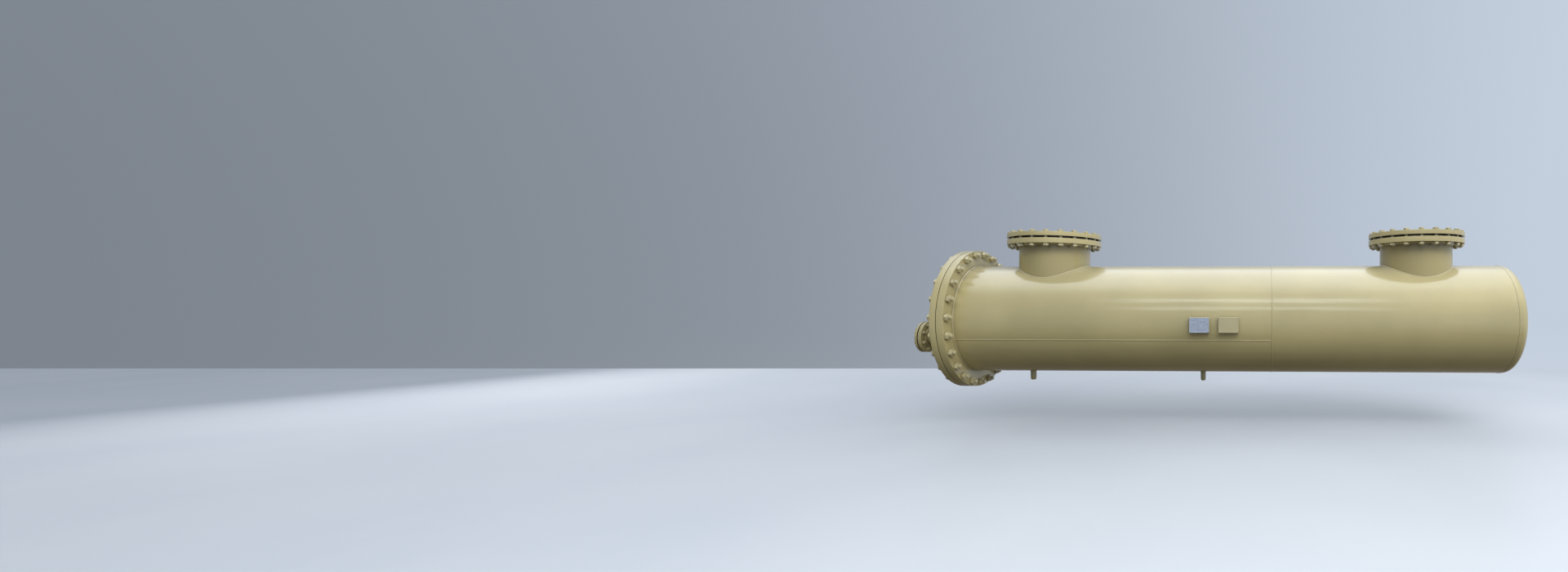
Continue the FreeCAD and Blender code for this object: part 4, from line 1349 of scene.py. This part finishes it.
# %% Rules of the front plate
plate = "front_name_plate"
half_rule = RULE_WIDTH / 2
field = low(plate, "y") + FIELD_DROP
left, right = low(plate, "x") + RULE_INSET, high(plate, "x") - RULE_INSET
levels = np.linspace(high(plate, "z") - RULE_TOP, low(plate, "z") + RULE_INSET, 6)
bars = [bar((left, right), (level - half_rule, level + half_rule), field) for level in levels]
for share in (0.0, 0.42, 1.0):
    x = left + share * (right - left)
    bars.append(bar((x - half_rule, x + half_rule), (levels[-1], levels[0]), field))
piece("front_plate_rules", bars, plate_enamel)

# %% [markdown]
# ## Camera
#
# The camera stands four metres in front of the vessel, a little above its axis and about opposite
# its middle. A short lens takes in the whole vessel from there. The shift slides the picture
# sideways, so that the vessel stands at the right of the frame without the camera being turned
# towards it.

# %% Camera
SENSOR = 36.0
LENS = 12.38
SHIFT_X, SHIFT_Y = -0.2893, 0.0061
YAW = 0.0371
STAND_X, STAND_Y, EYE_HEIGHT = 1.518, -3.998, 0.1706  # the height is above the vessel's axis
camera_data = bpy.data.cameras.new("camera")
camera_data.sensor_width = SENSOR
camera_data.lens = LENS
camera_data.shift_x = SHIFT_X
camera_data.shift_y = SHIFT_Y
camera = bpy.data.objects.new("camera", camera_data)
camera.location = (STAND_X, STAND_Y, axis_level + EYE_HEIGHT)
camera.rotation_euler = (math.radians(90), 0.0, YAW)
bpy.context.scene.collection.objects.link(camera)
bpy.context.scene.camera = camera
bpy.context.scene.view_settings.view_transform = "Standard"
print("eye level", round(camera.location.z, 3))

# %% [markdown]
# ## Floor
#
# The floor is a pale sheet squared up to the camera, so its far edge is a level line behind the
# vessel. A white floor would throw so much light up that the underside would lose its shape. So
# the sheet takes shadows but is left out of the light that reaches the paint. It is clear from
# below, so that the underside of the vessel can be looked at.

# %% The floor's finish
def floor_finish():
    """A pale matt floor with the faintest cloud in its colour."""
    material, nodes, links, shader = new_material("floor_finish")
    place = nodes.new("ShaderNodeTexCoord")
    cloud = noise(nodes, links, place, 0.8, 4.0)
    tone = spread(nodes, links, cloud, 0.3, 0.7, 0.0, 1.0)
    base = mixed(nodes, links, tone, (0.50, 0.53, 0.57, 1.0), (0.54, 0.565, 0.60, 1.0))
    links.new(base, shader.inputs["Base Color"])
    shader.inputs["Roughness"].default_value = 0.38
    clear = nodes.new("ShaderNodeBsdfTransparent")
    choice = nodes.new("ShaderNodeMixShader")
    links.new(nodes.new("ShaderNodeNewGeometry").outputs["Backfacing"], choice.inputs["Fac"])
    links.new(shader.outputs["BSDF"], choice.inputs[1])
    links.new(clear.outputs["BSDF"], choice.inputs[2])
    links.new(choice.outputs["Shader"], nodes["Material Output"].inputs["Surface"])
    return material


floor_paint = floor_finish()
print("the floor is", floor_paint.name, "above and clear below")

# %% [markdown]
# The floor's corners are counted from the point under the camera: so far ahead and so far aside.
# The far edge is given as a share of the eye's height, because that is what sets how high in the
# picture it lies. The other edges are far outside it.

# %% Floor
FLOOR_DROP = 0.28
FLOOR_REACH = 7.4
FLOOR_SIDE = 40
FLOOR_BEHIND = 30
floor_level = cad_low[2] - FLOOR_DROP
ahead = np.array([-math.sin(YAW), math.cos(YAW), 0.0])
aside = np.array([math.cos(YAW), math.sin(YAW), 0.0])
stand = np.array([camera.location.x, camera.location.y, floor_level])
far_edge = FLOOR_REACH * (camera.location.z - floor_level)
corners = [stand + depth * ahead + side * aside
           for side, depth in ((-FLOOR_SIDE, -FLOOR_BEHIND), (FLOOR_SIDE, -FLOOR_BEHIND),
                               (FLOOR_SIDE, far_edge), (-FLOOR_SIDE, far_edge))]
floor_mesh = bpy.data.meshes.new("floor")
floor_mesh.from_pydata([tuple(corner) for corner in corners], [], [(0, 1, 2, 3)])
floor_mesh.materials.append(floor_paint)
floor = bpy.data.objects.new("floor", floor_mesh)
bpy.context.scene.collection.objects.link(floor)
floor.visible_diffuse = False
floor.visible_glossy = False
print("floor level", round(floor_level, 3), "far edge", round(far_edge, 2), "m from the camera")

# %% [markdown]
# ## Light
#
# Gloss paint shows its surroundings, so the light is laid out like a room of soft panels. A plain
# area light has a hard edge, and the coat would draw that edge as a line along the shell. So each
# panel fades: its strength is one in the middle and falls smoothly to nothing at the border. The
# light's own shader can read where on the panel a ray leaves it, from 0 to 1 each way.

# %% Soft panels
def faded_edge(nodes, links, place, rim):
    """One in the middle of the panel and nothing at its edge, smooth across the rim's share."""
    centred = worked_out(nodes, links, "SUBTRACT", place, 0.5)
    distance = worked_out(nodes, links, "ABSOLUTE", centred)
    return spread(nodes, links, distance, 0.5 - rim, 0.5, 1.0, 0.0, "SMOOTHSTEP")


def soft_panel(name, location, target, width, depth, radiance, colour, rims):
    """A rectangular light that looks at a target; its power is pi * area * radiance."""
    light = bpy.data.lights.new(name, "AREA")
    light.shape = "RECTANGLE"
    light.size = width
    light.size_y = depth
    light.energy = math.pi * width * depth * radiance
    light.color = colour
    light.use_nodes = True
    nodes, links = light.node_tree.nodes, light.node_tree.links
    split = nodes.new("ShaderNodeSeparateXYZ")
    links.new(nodes.new("ShaderNodeNewGeometry").outputs["Parametric"], split.inputs["Vector"])
    fades = [faded_edge(nodes, links, split.outputs[axis], rim) for axis, rim in zip("XY", rims)]
    links.new(worked_out(nodes, links, "MULTIPLY", *fades), nodes["Emission"].inputs["Strength"])
    lamp = bpy.data.objects.new(name, light)
    lamp.location = location
    aim = Vector(target) - Vector(location)
    lamp.rotation_euler = aim.to_track_quat("-Z", "Y").to_euler()
    lamp.visible_camera = False
    bpy.context.scene.collection.objects.link(lamp)
    return lamp


def above_axis(x, y, z):
    """A place given from the vessel's axis level."""
    return (x, y, axis_level + z)


print("the vessel's axis is at", round(above_axis(0, 0, 0)[2], 3))

# %% [markdown]
# Two jobs are shared out among the panels. A broad one overhead is mirrored by the coat as the pale
# upper third of the shell, and it acts in reflections only, or it would bleach the top. Two long
# strips in front are mirrored as thin streaks that the rolled plate bends. The other four stand in
# front, at both ends and behind, and shape the colour of the paint without being mirrored in it.

# %% Place the panels
SKY_WHITE = (0.95, 1.0, 1.08)
WHITE = (1.0, 1.0, 1.0)
WARM = (1.0, 0.90, 0.70)
STRIP_RIMS = (0.3, 0.3)
PANEL_RIMS = (0.2, 0.2)
PANELS = (
    # name, place, target, width, depth, radiance, colour, rims, what it is hidden from
    ("overhead", (1.0, 0.4, 3.0), (1.0, 0.4, 0), 9.4, 5.6, 1.6, SKY_WHITE, (0.25, 0.3), "diffuse"),
    ("upper_strip", (1.4, -4.2, 3.4), (1.4, 0, 0), 5.6, 0.9, 2.4, SKY_WHITE, STRIP_RIMS, ""),
    ("lower_strip", (1.4, -5.0, 2.1), (1.4, 0, 0), 5.6, 0.75, 2.0, SKY_WHITE, STRIP_RIMS, ""),
    ("front_panel", (4.6, -4.8, 4.9), (2.6, 0, 0), 14.0, 4.0, 4.9, WHITE, PANEL_RIMS, "glossy"),
    ("rear_panel", (8.0, -3.0, 2.0), (2.0, 0, 0), 3.0, 3.0, 2.6, WARM, PANEL_RIMS, "glossy"),
    ("cover_panel", (-6.5, 1.5, 2.2), (-0.7, 0, 0), 4.0, 4.0, 4.2, WHITE, PANEL_RIMS, "glossy"),
    ("back_panel", (1.5, 7.0, 1.5), (1.5, 0, 0), 9.0, 3.0, 2.0, WHITE, PANEL_RIMS, "glossy"),
)
for name, place, target, width, depth, radiance, colour, rims, hidden in PANELS:
    lamp = soft_panel(name, above_axis(*place), above_axis(*target), width, depth, radiance,
                      colour, rims)
    lamp.visible_diffuse = hidden != "diffuse"
    lamp.visible_glossy = hidden != "glossy"
print("panels:", len(PANELS))

# %% [markdown]
# The surround is a sky made of bands by height, dark below as a yard's ground is, grey-blue at eye
# level and bright overhead, and stronger towards the rear end than towards the cover. The ground's
# darkness should be in the paint but not behind the vessel, so what the camera sees below the
# horizon is mixed to a plain pale tone.

# %% The surround
SKY = ((-1.0, (0.080, 0.068, 0.046)), (-0.45, (0.190, 0.172, 0.138)),
       (-0.14, (0.365, 0.412, 0.480)), (0.50, (0.370, 0.420, 0.492)), (1.0, (0.80, 0.85, 0.90)))
PALE_GROUND = (0.42, 0.46, 0.52, 1.0)
world = bpy.data.worlds.new("surround")
bpy.context.scene.world = world
world.use_nodes = True
nodes, links = world.node_tree.nodes, world.node_tree.links
direction = nodes.new("ShaderNodeSeparateXYZ")
links.new(nodes.new("ShaderNodeTexCoord").outputs["Generated"], direction.inputs["Vector"])
height = direction.outputs["Z"]
bands = nodes.new("ShaderNodeValToRGB")
links.new(spread(nodes, links, height, -1.0, 1.0, 0.0, 1.0), bands.inputs["Fac"])
for number, (level, tone) in enumerate(SKY):
    if number < len(bands.color_ramp.elements):
        stop = bands.color_ramp.elements[number]
    else:
        stop = bands.color_ramp.elements.new(0.999)
    stop.position = (level + 1) / 2
    stop.color = (*tone, 1.0)
seen = nodes.new("ShaderNodeLightPath").outputs["Is Camera Ray"]
below = spread(nodes, links, height, -0.30, -0.05, 1.0, 0.0)
pale = worked_out(nodes, links, "MULTIPLY", seen, below)
background = nodes["Background"]
links.new(mixed(nodes, links, pale, bands.outputs["Color"], PALE_GROUND), background.inputs["Color"])
side_strength = spread(nodes, links, direction.outputs["X"], -0.95, 0.45, 0.55, 1.50)
links.new(side_strength, background.inputs["Strength"])
print("bands of the surround:", len(bands.color_ramp.elements))

# %% [markdown]
# ## Count the pieces
#
# The visual model must stay inside the imported model's box. Every piece is counted, with all
# its faces.

# %% Count the pieces
print("pieces", len(made), "faces", sum(made.values()))
